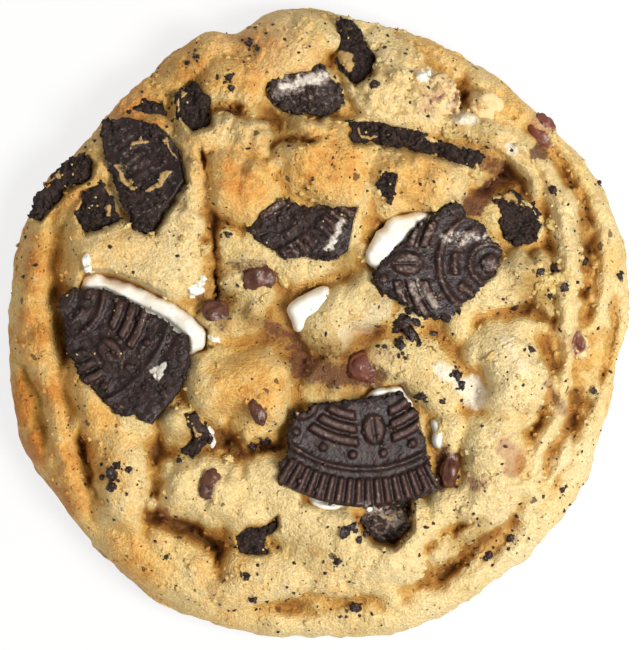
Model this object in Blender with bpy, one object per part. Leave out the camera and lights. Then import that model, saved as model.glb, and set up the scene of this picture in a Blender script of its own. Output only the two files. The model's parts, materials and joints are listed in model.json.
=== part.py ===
"""A thick baked drop cookie: folded dough set with broken sandwich wafers, creme and chocolate chips.

Metres, +Z up. The origin is the centre of the flat base. Sizes and places below are in millimetres.
"""

import bmesh
import bpy
import numpy as np

MM = 0.001

# Driving dimensions.
EDGE_HEIGHT = 4.4  # where the outside of the cookie is widest
RIM_HEIGHT = 6.2  # the plain dough just inside the edge
CROWN = 7.2  # how much higher the plain dough stands in the middle
WAFER_THICK = 2.2
WAFER_RADIUS = 23.0  # of the whole round wafers that the pieces broke from
CREME_THICK = 1.7
GAP = 0.3  # between a piece and the pocket that it sits in
STEEPEST = 0.32  # how steeply a piece may lie on the dough, as rise over run: 18 degrees

# How the dough's lumps are shaped and blended.
DOME_POWER = 2.6  # how squarely the plain dough falls away towards its edge
LUMP_POWER = 2.7  # the same for one lump
LUMP_DROP = 1.4  # how far a lump falls over its half width
LUMP_DROP_SHARE = 0.50  # and how much further for each millimetre of that half width
BLEND_SHARPNESS = 3.2  # a high value leaves a sharp crease between two lumps
EDGE_POWER = 16  # how tightly the top rounds over into the side
WANDER = ((6.5, 0.9), (2.6, 0.4))  # cell size and reach of the unevenness in every line

# How finely the dough is cut into faces, and the side's rows: share of the radius, height.
SPOKES = 84
RINGS = 21
SIDE = ((0.996, 2.6), (0.982, 1.0), (0.955, 0.0))

# The outline: degrees from +X, radius. A smooth closed curve runs through these.
OUTLINE = (
    (0, 44.4), (10, 45.1), (20, 45.4), (32, 44.7), (45, 43.9), (62, 43.6), (75, 44.0), (84, 44.6),
    (92, 45.4), (99, 45.7), (106, 43.9), (111, 45.6), (118, 44.6), (126, 43.4), (140, 42.9),
    (152, 44.2), (162, 45.1), (175, 45.2), (188, 45.5), (200, 46.6), (214, 45.8), (228, 45.9),
    (241, 46.4), (255, 46.0), (270, 45.4), (285, 46.2), (298, 45.2), (312, 45.0), (328, 44.6),
    (340, 43.6), (351, 43.3),
)

# Folds and lumps of dough: half width, height of the crest, then the line that the crest follows.
RIGHT_FOLDS = (
    (2.9, 8.8, (44.2, 8), (43.9, 2.5), (43.0, -2.5), (41.8, -8), (40.4, -14), (38.0, -19.5)),
    (2.6, 11.4, (29.5, 29.2), (34.5, 24.4), (38, 20), (40.6, 15), (41.6, 10), (41.3, 5), (38.9, -3.5),
     (37.6, -8.5)),
    (2.6, 14.2, (25.5, 26.2), (29.5, 24.3), (32.5, 20.5), (34.8, 16), (35.8, 11), (36.4, 6), (36, 1.5),
     (33.4, -7.5)),
    (4.6, 9.7, (38.6, -17), (36.6, -22.5), (33.5, -27.5), (28, -32.5), (21, -37), (13, -40.6),
     (5, -42.4), (-5, -42.9)),
)
TOP_FOLDS = (
    (2.6, 10.8, (12.5, 40.6), (17.5, 38.6), (23, 36.0), (28.0, 32.6)),
    (3.6, 12.5, (22.4, 33.2), (24.2, 32), (27.2, 29.8)),
    (3.0, 10.8, (30.2, 29), (33.5, 26.5)),
    (4.8, 14.6, (8.5, 34.5), (12.5, 35.2), (16.4, 32.7)),
    (3.0, 14.3, (7.5, 31.0), (14, 30.1), (19.5, 28.4), (24.5, 26.6)),
    (3.2, 11.8, (8.6, 41.6), (11.8, 38.8)),
    (5.0, 12.0, (-18.5, 39.2), (-12, 39.6), (-6, 41.5)),
    (4.0, 13.4, (-15.3, 34.8), (-11.2, 34.8)),
    (4.3, 14.1, (-7, 38.8), (-3.2, 38.7)),
    (2.6, 12.0, (-1.6, 43.0), (0.6, 41.4)),
    (3.4, 11.1, (-21, 36.6), (-25.5, 33.2), (-29.5, 29.4), (-33, 25.5), (-38, 20.5)),
)
LEFT_FOLDS = (
    (3.4, 12.2, (-31.8, 21.8), (-36.2, 18.8), (-39.6, 13.5), (-41.2, 8), (-41.8, 2), (-39, -8.5),
     (-37.1, -20), (-35.6, -25.5)),
    (2.6, 9.2, (-43.4, -6.5), (-43.2, -10.5), (-42.2, -15.5), (-40.3, -20.5), (-38.6, -24)),
    (2.2, 11.5, (-37.6, 14.5), (-36.6, 9)),
    (4.2, 9.5, (-36.5, -26.5), (-32.2, -32), (-26.5, -37), (-19, -41), (-11, -43.2), (-4, -43)),
    (4.6, 11.8, (-29.0, -32.0), (-23.6, -36), (-18, -38.6)),
    (3.6, 11.5, (-22.4, -31.4), (-17.8, -35)),
)
UPPER_LUMPS = (
    (6.0, 16.6, (-31.2, 10.4), (-26, 9.8), (-20.6, 9.2), (-20.4, 14.6)),
    (2.3, 17.1, (-17.9, 21.3), (-17.9, 16.5)),
    (4.2, 16.6, (-17.2, 26.2), (-12, 27.4), (-8.0, 26.0)),
    (5.4, 18.7, (-12.4, 21.2), (-9.8, 19.4)),
    (5.6, 19.1, (-2.5, 23.4), (2, 22.2), (5.0, 20)),
    (4.9, 18.4, (11.6, 20.8), (15.5, 21.0)),
    (3.2, 17.7, (18.8, 20.4)),
)
MIDDLE_LUMPS = (
    (5.0, 16.1, (-12.5, 10.6), (-8, 9.6), (-2, 9), (3, 9.6)),
    (3.2, 15.7, (-13.0, 5.6), (-8.5, 4.4)),
    (4.4, 14.8, (-10.6, 0.6), (-15.2, -2)),
    (4.4, 17.6, (0.8, -1.2), (4, 1.6), (7.2, 3.8)),
    (3.6, 15.7, (11.5, 8.5), (13.6, 3.5), (12, -1.5)),
    (6.0, 18.7, (-14, -8), (-9.8, -8.6), (-8.2, -11)),
    (2.6, 16.6, (-20.8, -14.6)),
    (5.4, 15.5, (11.5, -4.6), (15, -6.4), (19.6, -9.6)),
)
RIGHT_LUMPS = (
    (5.4, 17.6, (25.8, -3.6), (28, -7), (27.2, -10.7)),
    (4.4, 15.6, (21.2, 1), (25.6, 4.6), (28.2, 6)),
    (3.4, 14.9, (33.0, 8.2), (33.4, 3.4)),
    (3.4, 14.6, (29.6, 0.2), (33.5, -2.4)),
    (5.6, 16.5, (22.2, -15.5), (25.6, -18), (24.4, -21.8)),
    (2.8, 14.1, (32.6, -11.5), (32.8, -17), (31.0, -20.6)),
    (3.8, 14.8, (29.4, -22.6), (24.8, -25.6), (19.0, -26.8)),
    (3.2, 10.8, (19.6, -33.0), (23.6, -30.2), (28.5, -28.5)),
)
LOWER_LUMPS = (
    (7.0, 15.4, (-8, -23), (-1, -29), (6, -33.0), (12.5, -31.4)),
    (4.6, 13.4, (-13, -37.0), (-5, -36.4), (4, -36.6), (9, -36.4)),
    (6.2, 15.4, (-18.4, -23.0), (-11, -25)),
    (5.4, 15.0, (-29, -15.6), (-28.2, -21), (-28.6, -25)),
    (3.6, 15.5, (-34.0, -8), (-33.2, -13.5)),
)
MOUNDS = RIGHT_FOLDS + TOP_FOLDS + LEFT_FOLDS + UPPER_LUMPS + MIDDLE_LUMPS + RIGHT_LUMPS + LOWER_LUMPS


def through(points, steps):
    """A smooth curve through the points, as (x, y) rows."""
    if len(points) < 3:
        return [tuple(p) for p in points]
    p = [np.array(q, float) for q in points]
    p = [2 * p[0] - p[1]] + p + [2 * p[-1] - p[-2]]
    curve = []
    for a, b, c, d in zip(p, p[1:], p[2:], p[3:]):
        for step in range(steps):
            u = step / steps
            bend = (2 * a - 5 * b + 4 * c - d) * u**2 + (3 * b - a - 3 * c + d) * u**3
            curve.append(tuple(b + 0.5 * ((c - a) * u + bend)))
    return curve + [tuple(p[-2])]


def outline_radius(angle):
    """Radius of the cookie's outside at each angle in radians."""
    before = [(a - 360, r) for a, r in OUTLINE[-3:]]
    after = [(a + 360, r) for a, r in OUTLINE[:3]]
    wrapped = before + list(OUTLINE) + after
    curve = np.array(through(wrapped, 8))
    return np.interp(np.degrees(angle) % 360, curve[:, 0], curve[:, 1])


def distance_to(x, y, points):
    """Distance from each (x, y) to the smooth curve through the points."""
    line = through(points, 4)
    if len(line) == 1:
        return np.hypot(x - line[0][0], y - line[0][1])
    best = np.full(np.shape(x), np.inf)
    for (ax, ay), (bx, by) in zip(line, line[1:]):
        dx = bx - ax
        dy = by - ay
        along = np.clip(((x - ax) * dx + (y - ay) * dy) / (dx * dx + dy * dy), 0, 1)
        best = np.minimum(best, np.hypot(x - ax - along * dx, y - ay - along * dy))
    return best


def noise(x, y, size, seed):
    """Smooth random values between -1 and 1, in cells of the given size."""
    table = np.random.default_rng(seed).uniform(-1, 1, (64, 64))
    turn = 1.7 * seed
    u = (np.cos(turn) * x - np.sin(turn) * y) / size + 17.3
    v = (np.sin(turn) * x + np.cos(turn) * y) / size + 9.1
    i = np.floor(u).astype(int)
    j = np.floor(v).astype(int)
    f = u - i
    g = v - j
    f = f**3 * (f * (6 * f - 15) + 10)
    g = g**3 * (g * (6 * g - 15) + 10)
    low = table[i % 64, j % 64] * (1 - f) + table[(i + 1) % 64, j % 64] * f
    high = table[i % 64, (j + 1) % 64] * (1 - f) + table[(i + 1) % 64, (j + 1) % 64] * f
    return low * (1 - g) + high * g


def dough_height(x, y):
    """Height of the dough over each (x, y): a low dome, with every fold and lump blended into it."""
    x = np.asarray(x, float)
    y = np.asarray(y, float)
    out = np.clip(np.hypot(x, y) / outline_radius(np.arctan2(y, x)), 0, 1)
    wander_x = x + sum(reach * noise(x, y, size, 1 + k) for k, (size, reach) in enumerate(WANDER))
    wander_y = y + sum(reach * noise(x, y, size, 3 + k) for k, (size, reach) in enumerate(WANDER))
    blend = np.exp(BLEND_SHARPNESS * (RIM_HEIGHT + CROWN * (1 - out**DOME_POWER)))
    for half_width, crest, *line in MOUNDS:
        away = distance_to(wander_x, wander_y, line) / half_width
        drop = LUMP_DROP + LUMP_DROP_SHARE * half_width
        blend += np.exp(BLEND_SHARPNESS * (crest - drop * away**LUMP_POWER))
    round_over = np.sqrt(np.clip(1 - out**EDGE_POWER, 0, 1))
    return EDGE_HEIGHT + (np.log(blend) / BLEND_SHARPNESS - EDGE_HEIGHT) * round_over


def paint(name, colour, roughness):
    """A plain material."""
    made = bpy.data.materials.new(name)
    made.use_nodes = True
    shader = made.node_tree.nodes["Principled BSDF"]
    shader.inputs["Base Color"].default_value = (*colour, 1)
    shader.inputs["Roughness"].default_value = roughness
    shader.inputs["Metallic"].default_value = 0
    return made


def solid(name, points, faces, material):
    """A named mesh object from points in millimetres, its faces turned outward."""
    mesh = bpy.data.meshes.new(name)
    mesh.from_pydata([tuple(c * MM for c in p) for p in points], [], faces)
    shape = bmesh.new()
    shape.from_mesh(mesh)
    bmesh.ops.recalc_face_normals(shape, faces=shape.faces)
    shape.to_mesh(mesh)
    shape.free()
    made = bpy.data.objects.new(name, mesh)
    made.data.materials.append(material)
    bpy.context.scene.collection.objects.link(made)
    return made


def hide(cutter):
    """Keep a cutter out of the model."""
    cutter.hide_render = True
    cutter.display_type = "WIRE"
    return cutter


def cut(target, cutter):
    """Cut a pocket."""
    boolean = target.modifiers.new(cutter.name, "BOOLEAN")
    boolean.operation = "DIFFERENCE"
    boolean.solver = "EXACT"
    boolean.object = cutter


def build_dough(material):
    """The dough: rings of points over the top, a rounded outside, and a flat base."""
    angles = np.arange(SPOKES) * 2 * np.pi / SPOKES
    radius = outline_radius(angles)
    inward = 1 - (1 - np.arange(1, RINGS + 1) / RINGS) ** 1.3
    points = [(0, 0, float(dough_height(0, 0)))]
    for share in inward:
        x = share * radius * np.cos(angles)
        y = share * radius * np.sin(angles)
        points += zip(x, y, dough_height(x, y))
    for share, z in SIDE:
        points += [(share * r * np.cos(a), share * r * np.sin(a), z) for r, a in zip(radius, angles)]
    rows = RINGS + len(SIDE)
    faces = []
    for k in range(SPOKES):
        after = (k + 1) % SPOKES
        faces.append((0, 1 + k, 1 + after))
        for row in range(rows - 1):
            inner = 1 + row * SPOKES
            outer = inner + SPOKES
            faces.append((inner + k, outer + k, outer + after))
            faces.append((inner + k, outer + after, inner + after))
    faces.append(tuple(1 + (rows - 1) * SPOKES + k for k in range(SPOKES)))
    return solid("dough", points, faces, material)


def arc(centre, radius, start, end, steps):
    """Points along an arc, angles in degrees."""
    turns = np.radians(np.linspace(start, end, steps + 1))
    return [(centre[0] + radius * np.cos(a), centre[1] + radius * np.sin(a)) for a in turns]


def grown(outline, by):
    """The outline moved outward by a distance."""
    ring = np.array(outline, float)
    after = np.roll(ring, -1, axis=0) - ring
    if np.sum(ring[:, 0] * np.roll(ring[:, 1], -1) - ring[:, 1] * np.roll(ring[:, 0], -1)) < 0:
        after = -after
    outward = np.stack([after[:, 1], -after[:, 0]], axis=1)
    outward /= np.linalg.norm(outward, axis=1, keepdims=True)
    mitre = outward + np.roll(outward, 1, axis=0)
    length = np.maximum(np.sum(mitre * mitre, axis=1, keepdims=True), 0.6)
    return ring + 2 * by * mitre / length


def bed(outline):
    """The plane z = a x + b y + c that lies best on the dough under the outline, never too steep."""
    ring = np.vstack([outline, 0.5 * (np.array(outline) + np.mean(outline, axis=0))])
    table = np.column_stack([ring, np.ones(len(ring))])
    a, b, _ = np.linalg.lstsq(table, dough_height(ring[:, 0], ring[:, 1]), rcond=None)[0]
    too_steep = max(1.0, np.hypot(a, b) / STEEPEST)
    a /= too_steep
    b /= too_steep
    middle = np.mean(ring, axis=0)
    c = float(np.mean(dough_height(ring[:, 0], ring[:, 1]))) - a * middle[0] - b * middle[1]
    return a, b, c


def plate(name, outline, plane, top, bottom, material):
    """A flat piece between two heights over the plane, square to it."""
    a, b, c = plane
    normal = np.array([-a, -b, 1.0]) / np.sqrt(a * a + b * b + 1)
    ring = np.array(outline, float)
    base = np.column_stack([ring, ring @ np.array([a, b]) + c])
    points = list(base + top * normal) + list(base + bottom * normal)
    n = len(ring)
    faces = [tuple(range(n)), tuple(range(2 * n - 1, n - 1, -1))]
    faces += [(k, (k + 1) % n, n + (k + 1) % n, n + k) for k in range(n)]
    return solid(name, points, faces, material)


def set_plate(name, outline, plane, top, bottom, material, open_above=6.0):
    """A flat piece, and the cutter of its pocket, which opens upward."""
    piece = plate(name, outline, plane, top, bottom, material)
    pocket = plate(name + "_pocket", grown(outline, GAP), plane, top + open_above, bottom - GAP, material)
    return piece, hide(pocket)


def set_pebble(name, x, y, half_sizes, turn, lift, material):
    """A rounded lump half sunk in the dough, and the cutter of its pocket."""
    found = []
    centre = (x, y, float(dough_height(x, y)) + lift)
    for suffix, more in (("", 0.0), ("_pocket", GAP)):
        shape = bmesh.new()
        bmesh.ops.create_icosphere(shape, subdivisions=2, radius=1)
        turned = np.array([[np.cos(turn), -np.sin(turn)], [np.sin(turn), np.cos(turn)]])
        points = []
        for vertex in shape.verts:
            across, along, up = (c * (half + more) for c, half in zip(vertex.co, half_sizes))
            flat = turned @ np.array([across, along])
            points.append((centre[0] + flat[0], centre[1] + flat[1], centre[2] + up))
        faces = [tuple(v.index for v in face.verts) for face in shape.faces]
        shape.free()
        found.append(solid(name + suffix, points, faces, material))
    return found[0], hide(found[1])


# The three large pieces: the wafer's outline, the creme's outline, how far the top stands above the dough.
FRONT_CENTRE = (6.2, -3.4)
SANDWICHES = {
    "front": (
        arc(FRONT_CENTRE, WAFER_RADIUS, 237, 298, 8)
        + [(15.5, -20), (14.5, -17), (13.5, -13), (11.5, -10), (6, -10.8), (0, -11.5), (-4, -12.5)]
        + [(-5, -18)],
        [(-2.5, -25.8), (1.5, -26.9), (4.5, -26), (14.5, -23.5), (15.4, -18.5), (13.6, -12), (11.8, -8.8)]
        + [(7, -9.2), (5, -12), (-3.5, -15)],
        2.9,
    ),
    "left": (
        [(-37.5, 4), (-34.5, 4.5), (-31, 4.5), (-27, 2.5), (-22, 0), (-19, -2.5), (-18.5, -6), (-20, -10)]
        + [(-24, -14.8), (-28, -13.5), (-31.5, -11), (-34.5, -8), (-36.5, -3), (-37, 1)],
        [(-35, 5.4), (-34, 7.2), (-30.6, 7), (-26.6, 5.8), (-21.4, 3.2), (-16.4, -0.6), (-16.4, -3.6)]
        + [(-20, -5), (-28, -2), (-34, 1.5)],
        3.0,
    ),
    "right": (
        [(19, 17.7), (20.5, 15), (23, 14), (25.5, 10), (25, 7), (21, 3.5), (19.5, 1.5), (17, 0), (14, 1)]
        + [(12, 2.5), (8.5, 4), (7, 6), (9, 8.5), (12, 12), (15, 15)],
        [(6.2, 8.2), (6.4, 11), (8.4, 14.2), (11.8, 16), (16.2, 16.2), (18.5, 14), (17, 8), (12, 5.2)],
        3.0,
    ),
}
# The piece of the front sandwich's lower wafer that shows below it.
FRONT_LOWER = [(3.5, -22), (5.2, -27.5), (6.8, -30), (8.2, -31.6), (11, -32), (13.2, -29.6), (13.4, -22)]

# Single wafer pieces: outline, how far the top stands above the dough, thickness.
SHARDS = {
    "middle": (
        [(-10.5, 13.5), (-8.5, 16), (-5.5, 18), (-2.5, 16.5), (5.2, 16.7), (4, 10.5), (2, 9), (-5, 9.5),
         (-9, 11.5)],
        1.9,
        WAFER_THICK,
    ),
    "upper_left": (
        [(-31, 28.5), (-27, 29.3), (-22.5, 28), (-20, 25), (-18.9, 20), (-21, 17), (-24, 12.5),
         (-26.5, 13.5), (-28, 17), (-29.5, 21), (-30.6, 25)],
        3.0,
        2.8,
    ),
    "top": (
        [(-7.5, 34.3), (-5, 35.7), (0, 36.5), (2.2, 35), (3.8, 31.5), (0, 29.3), (-6, 30.5), (-7.3, 32)],
        2.6,
        3.0,
    ),
    "rear": (
        [(2.5, 43.4), (4.8, 43.7), (6, 42), (8, 38.5), (7.5, 36), (4.9, 34.3), (3.4, 36), (2.2, 38),
         (3, 41)],
        1.6,
        WAFER_THICK,
    ),
    "bar": (
        [(3.2, 28.9), (6, 29.5), (10, 28.8), (15, 27), (20, 25), (23.6, 24), (21.8, 22.5), (17, 24),
         (10, 25.5), (4.7, 26)],
        1.5,
        WAFER_THICK,
    ),
    "right_lobe": (
        [(24.4, 18), (28, 18.5), (30.5, 17), (32, 14), (31, 12), (28, 10.9), (26.4, 12.6), (25.4, 14.8)],
        1.5,
        WAFER_THICK,
    ),
    "rim_left": (
        [(-42, 15.4), (-41.2, 18), (-36.5, 23.6), (-33.8, 24.6), (-32.6, 23), (-33.4, 21.2), (-37, 19),
         (-40.6, 14.8)],
        1.2,
        WAFER_THICK,
    ),
    "left_nub": (
        [(-34.4, 18), (-31.6, 20.4), (-30, 18), (-28.9, 15), (-31, 14), (-34, 13), (-35.5, 15.5)],
        1.4,
        WAFER_THICK,
    ),
    "upper_sliver": (
        [(-28, 30.8), (-25.5, 32.5), (-22.7, 32), (-22.2, 29.6), (-26.8, 30.5)],
        1.2,
        WAFER_THICK,
    ),
    "upper_nub": (
        [(-20.6, 32.6), (-18, 34.2), (-16, 32.5), (-15.8, 28.6), (-18.6, 27.8), (-20.4, 29.6)],
        1.3,
        WAFER_THICK,
    ),
    "golden_nub": (
        [(8, 20), (9, 22), (11, 21.5), (10.5, 19), (10, 17.5), (8.5, 18.5)],
        0.5,
        1.8,
    ),
    "curl": (
        [(-12.6, -31), (-11, -29.4), (-8.4, -29.2), (-6.4, -27.8), (-6.2, -29.4), (-8.2, -31.2),
         (-7.6, -33.4), (-9.6, -33.6), (-12, -33.2)],
        0.7,
        1.8,
    ),
    "hook": (
        [(-19.6, -13), (-17.6, -12.4), (-16, -16.6), (-18.2, -19.4), (-19.8, -18.4), (-18.3, -16.4)],
        0.7,
        1.8,
    ),
}

# Rounded pieces: centre, half sizes, turn in degrees, height of the centre above the dough.
CREME_LUMPS = {
    "creme_middle": ((-1.4, 2.2), (3.6, 2.3, 1.5), 42, 0.5),
    "creme_corner": ((16.9, -15.6), (1.1, 2.0, 1.3), 8, 0.7),
}
CHIPS = {
    "chip_centre": ((-8.9, 6.9), (2.3, 2.0, 1.5), 20, 0.5),
    "chip_by_left": ((-15.0, 1.4), (1.9, 1.7, 1.5), 0, 0.5),
    "chip_lower_left": ((-15.8, -23.0), (1.3, 1.9, 1.2), -20, 0.3),
    "chip_lower": ((-9.0, -12.6), (1.1, 1.7, 1.1), 20, 0.4),
    "chip_melted": ((6.4, -6.2), (2.3, 1.9, 1.2), 10, 0.3),
    "chip_by_front": ((18.6, -21.2), (1.2, 2.6, 1.2), -8, 0.3),
    "chip_top": ((17.2, 32.8), (2.4, 2.7, 1.6), 30, 0.5),
    "chip_top_right": ((24.0, 31.2), (1.9, 1.8, 1.4), 0, 0.5),
    "chip_rim": ((32.0, 27.6), (1.8, 2.4, 1.4), 30, 0.4),
    "chip_right": ((37.2, -3.0), (1.3, 2.0, 1.2), 15, 0.4),
}


def build_sandwiches(wafer, creme):
    """Each large piece: a wafer on a layer of creme. The front one shows its lower wafer too."""
    pockets = []
    for name, (outline, creme_outline, stand) in SANDWICHES.items():
        plane = bed(outline)
        under = stand - WAFER_THICK
        pockets.append(set_plate("wafer_" + name, outline, plane, stand, under, wafer)[1])
        creme_top = under - GAP
        creme_bottom = creme_top - CREME_THICK
        pockets.append(set_plate("creme_" + name, creme_outline, plane, creme_top, creme_bottom, creme)[1])
        if name == "front":
            top = creme_bottom - GAP
            bottom = top - WAFER_THICK
            pockets.append(set_plate("wafer_front_lower", FRONT_LOWER, plane, top, bottom, wafer)[1])
    return pockets


def build_shards(wafer):
    """The smaller broken pieces, each lying on the dough."""
    pockets = []
    for name, (outline, stand, thick) in SHARDS.items():
        pockets.append(set_plate("wafer_" + name, outline, bed(outline), stand, stand - thick, wafer)[1])
    return pockets


def build_pebbles(lumps, material):
    """Chips and lumps of creme."""
    pockets = []
    for name, ((x, y), half_sizes, turn, lift) in lumps.items():
        pockets.append(set_pebble(name, x, y, half_sizes, np.radians(turn), lift, material)[1])
    return pockets


def build():
    """The whole cookie."""
    for old in list(bpy.data.objects):
        bpy.data.objects.remove(old)
    baked = paint("dough", (0.70, 0.46, 0.19), 0.75)
    wafer = paint("wafer", (0.045, 0.026, 0.020), 0.5)
    creme = paint("creme", (0.86, 0.80, 0.70), 0.6)
    chocolate = paint("chocolate", (0.13, 0.055, 0.03), 0.4)
    dough = build_dough(baked)
    pockets = build_sandwiches(wafer, creme) + build_shards(wafer)
    pockets += build_pebbles(CREME_LUMPS, creme) + build_pebbles(CHIPS, chocolate)
    for pocket in pockets:
        cut(dough, pocket)


build()
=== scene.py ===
import json

import bmesh
import bpy
import numpy as np
from mathutils.geometry import delaunay_2d_cdt
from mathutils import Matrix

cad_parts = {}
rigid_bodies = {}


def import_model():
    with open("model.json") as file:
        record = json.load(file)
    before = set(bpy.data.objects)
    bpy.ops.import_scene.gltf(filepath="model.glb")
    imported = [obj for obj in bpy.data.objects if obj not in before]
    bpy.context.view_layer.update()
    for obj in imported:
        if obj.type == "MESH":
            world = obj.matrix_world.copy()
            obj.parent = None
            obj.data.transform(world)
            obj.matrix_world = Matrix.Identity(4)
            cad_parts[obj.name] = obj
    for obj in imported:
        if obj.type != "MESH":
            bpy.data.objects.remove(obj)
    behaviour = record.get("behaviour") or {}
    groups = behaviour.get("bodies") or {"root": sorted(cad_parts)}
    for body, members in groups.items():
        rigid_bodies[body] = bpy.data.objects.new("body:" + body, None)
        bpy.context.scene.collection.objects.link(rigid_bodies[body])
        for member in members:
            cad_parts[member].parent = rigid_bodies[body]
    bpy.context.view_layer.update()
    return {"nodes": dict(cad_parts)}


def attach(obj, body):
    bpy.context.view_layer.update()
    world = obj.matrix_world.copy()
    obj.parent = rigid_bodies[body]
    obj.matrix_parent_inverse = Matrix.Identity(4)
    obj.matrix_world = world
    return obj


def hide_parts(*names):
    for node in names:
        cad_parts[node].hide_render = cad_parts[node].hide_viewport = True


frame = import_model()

# ---------------------------------------------------------------------------
# The dough: one thick drop of soft dough that slumped as it baked. It is folded
# at the rim, lumpy on top, torn along a few lines, and flat underneath.
# Sizes here are in millimetres; MM turns them into the scene's metres.
# ---------------------------------------------------------------------------

MM = 0.001
EDGE_HEIGHT = 4.4  # where the outside of the cookie is widest
RIM_HEIGHT = 6.2  # the plain dough just inside the edge
CROWN = 7.2  # how much higher the plain dough stands in the middle

# How the dough's lumps are shaped and blended.
DOME_POWER = 2.6  # how squarely the plain dough falls away towards its edge
LUMP_POWER = 2.7  # the same for one lump
LUMP_DROP = 1.4  # how far a lump falls over its half width
LUMP_DROP_SHARE = 0.50  # and how much further for each millimetre of that half width
BLEND_SHARPNESS = 3.2  # a high value leaves a sharp crease between two lumps
EDGE_POWER = 16  # how tightly the top rounds over into the side
WANDER = ((6.5, 0.9), (2.6, 0.4))  # cell size and reach of the unevenness in every line

# The outline: degrees from +X, radius. A smooth closed curve runs through these.
OUTLINE = (
    (0, 44.4), (10, 45.1), (20, 45.4), (32, 44.7), (45, 43.9), (62, 43.6), (75, 44.0), (84, 44.6),
    (92, 45.4), (99, 45.7), (106, 43.9), (111, 45.6), (118, 44.6), (126, 43.4), (140, 42.9),
    (152, 44.2), (162, 45.1), (175, 45.2), (188, 45.5), (200, 46.6), (214, 45.8), (228, 45.9),
    (241, 46.4), (255, 46.0), (270, 45.4), (285, 46.2), (298, 45.2), (312, 45.0), (328, 44.6),
    (340, 43.6), (351, 43.3),
)

# Folds and lumps of dough: half width, height of the crest, then the line that the crest follows.
RIGHT_FOLDS = (
    (2.9, 8.8, (44.2, 8), (43.9, 2.5), (43.0, -2.5), (41.8, -8), (40.4, -14), (38.0, -19.5)),
    (2.6, 11.4, (29.5, 29.2), (34.5, 24.4), (38, 20), (40.6, 15), (41.6, 10), (41.3, 5), (38.9, -3.5),
     (37.6, -8.5)),
    (2.6, 14.2, (25.5, 26.2), (29.5, 24.3), (32.5, 20.5), (34.8, 16), (35.8, 11), (36.4, 6), (36, 1.5),
     (33.4, -7.5)),
    (4.6, 9.7, (38.6, -17), (36.6, -22.5), (33.5, -27.5), (28, -32.5), (21, -37), (13, -40.6),
     (5, -42.4), (-5, -42.9)),
)
TOP_FOLDS = (
    (2.6, 10.8, (12.5, 40.6), (17.5, 38.6), (23, 36.0), (28.0, 32.6)),
    (3.6, 12.5, (22.4, 33.2), (24.2, 32), (27.2, 29.8)),
    (3.0, 10.8, (30.2, 29), (33.5, 26.5)),
    (4.8, 14.6, (8.5, 34.5), (12.5, 35.2), (16.4, 32.7)),
    (3.0, 14.3, (7.5, 31.0), (14, 30.1), (19.5, 28.4), (24.5, 26.6)),
    (3.2, 11.8, (8.6, 41.6), (11.8, 38.8)),
    (5.0, 12.0, (-18.5, 39.2), (-12, 39.6), (-6, 41.5)),
    (4.0, 13.4, (-15.3, 34.8), (-11.2, 34.8)),
    (4.3, 14.1, (-7, 38.8), (-3.2, 38.7)),
    (2.6, 12.0, (-1.6, 43.0), (0.6, 41.4)),
    (3.4, 11.1, (-21, 36.6), (-25.5, 33.2), (-29.5, 29.4), (-33, 25.5), (-38, 20.5)),
)
LEFT_FOLDS = (
    (3.4, 12.2, (-31.8, 21.8), (-36.2, 18.8), (-39.6, 13.5), (-41.2, 8), (-41.8, 2), (-39, -8.5),
     (-37.1, -20), (-35.6, -25.5)),
    (2.6, 9.2, (-43.4, -6.5), (-43.2, -10.5), (-42.2, -15.5), (-40.3, -20.5), (-38.6, -24)),
    (2.2, 11.5, (-37.6, 14.5), (-36.6, 9)),
    (4.2, 9.5, (-36.5, -26.5), (-32.2, -32), (-26.5, -37), (-19, -41), (-11, -43.2), (-4, -43)),
    (4.6, 11.8, (-29.0, -32.0), (-23.6, -36), (-18, -38.6)),
    (3.6, 11.5, (-22.4, -31.4), (-17.8, -35)),
)
UPPER_LUMPS = (
    (6.0, 16.6, (-31.2, 10.4), (-26, 9.8), (-20.6, 9.2), (-20.4, 14.6)),
    (2.3, 17.1, (-17.9, 21.3), (-17.9, 16.5)),
    (4.2, 16.6, (-17.2, 26.2), (-12, 27.4), (-8.0, 26.0)),
    (5.4, 18.7, (-12.4, 21.2), (-9.8, 19.4)),
    (5.6, 19.1, (-2.5, 23.4), (2, 22.2), (5.0, 20)),
    (4.9, 18.4, (11.6, 20.8), (15.5, 21.0)),
    (3.2, 17.7, (18.8, 20.4)),
)
MIDDLE_LUMPS = (
    (5.0, 16.1, (-12.5, 10.6), (-8, 9.6), (-2, 9), (3, 9.6)),
    (3.2, 15.7, (-13.0, 5.6), (-8.5, 4.4)),
    (4.4, 14.8, (-10.6, 0.6), (-15.2, -2)),
    (4.4, 17.6, (0.8, -1.2), (4, 1.6), (7.2, 3.8)),
    (3.6, 15.7, (11.5, 8.5), (13.6, 3.5), (12, -1.5)),
    (6.0, 18.7, (-14, -8), (-9.8, -8.6), (-8.2, -11)),
    (2.6, 16.6, (-20.8, -14.6)),
    (5.4, 15.5, (11.5, -4.6), (15, -6.4), (19.6, -9.6)),
)
RIGHT_LUMPS = (
    (5.4, 17.6, (25.8, -3.6), (28, -7), (27.2, -10.7)),
    (4.4, 15.6, (21.2, 1), (25.6, 4.6), (28.2, 6)),
    (3.4, 14.9, (33.0, 8.2), (33.4, 3.4)),
    (3.4, 14.6, (29.6, 0.2), (33.5, -2.4)),
    (5.6, 16.5, (22.2, -15.5), (25.6, -18), (24.4, -21.8)),
    (2.8, 14.1, (32.6, -11.5), (32.8, -17), (31.0, -20.6)),
    (3.8, 14.8, (29.4, -22.6), (24.8, -25.6), (19.0, -26.8)),
    (3.2, 10.8, (19.6, -33.0), (23.6, -30.2), (28.5, -28.5)),
)
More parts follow.
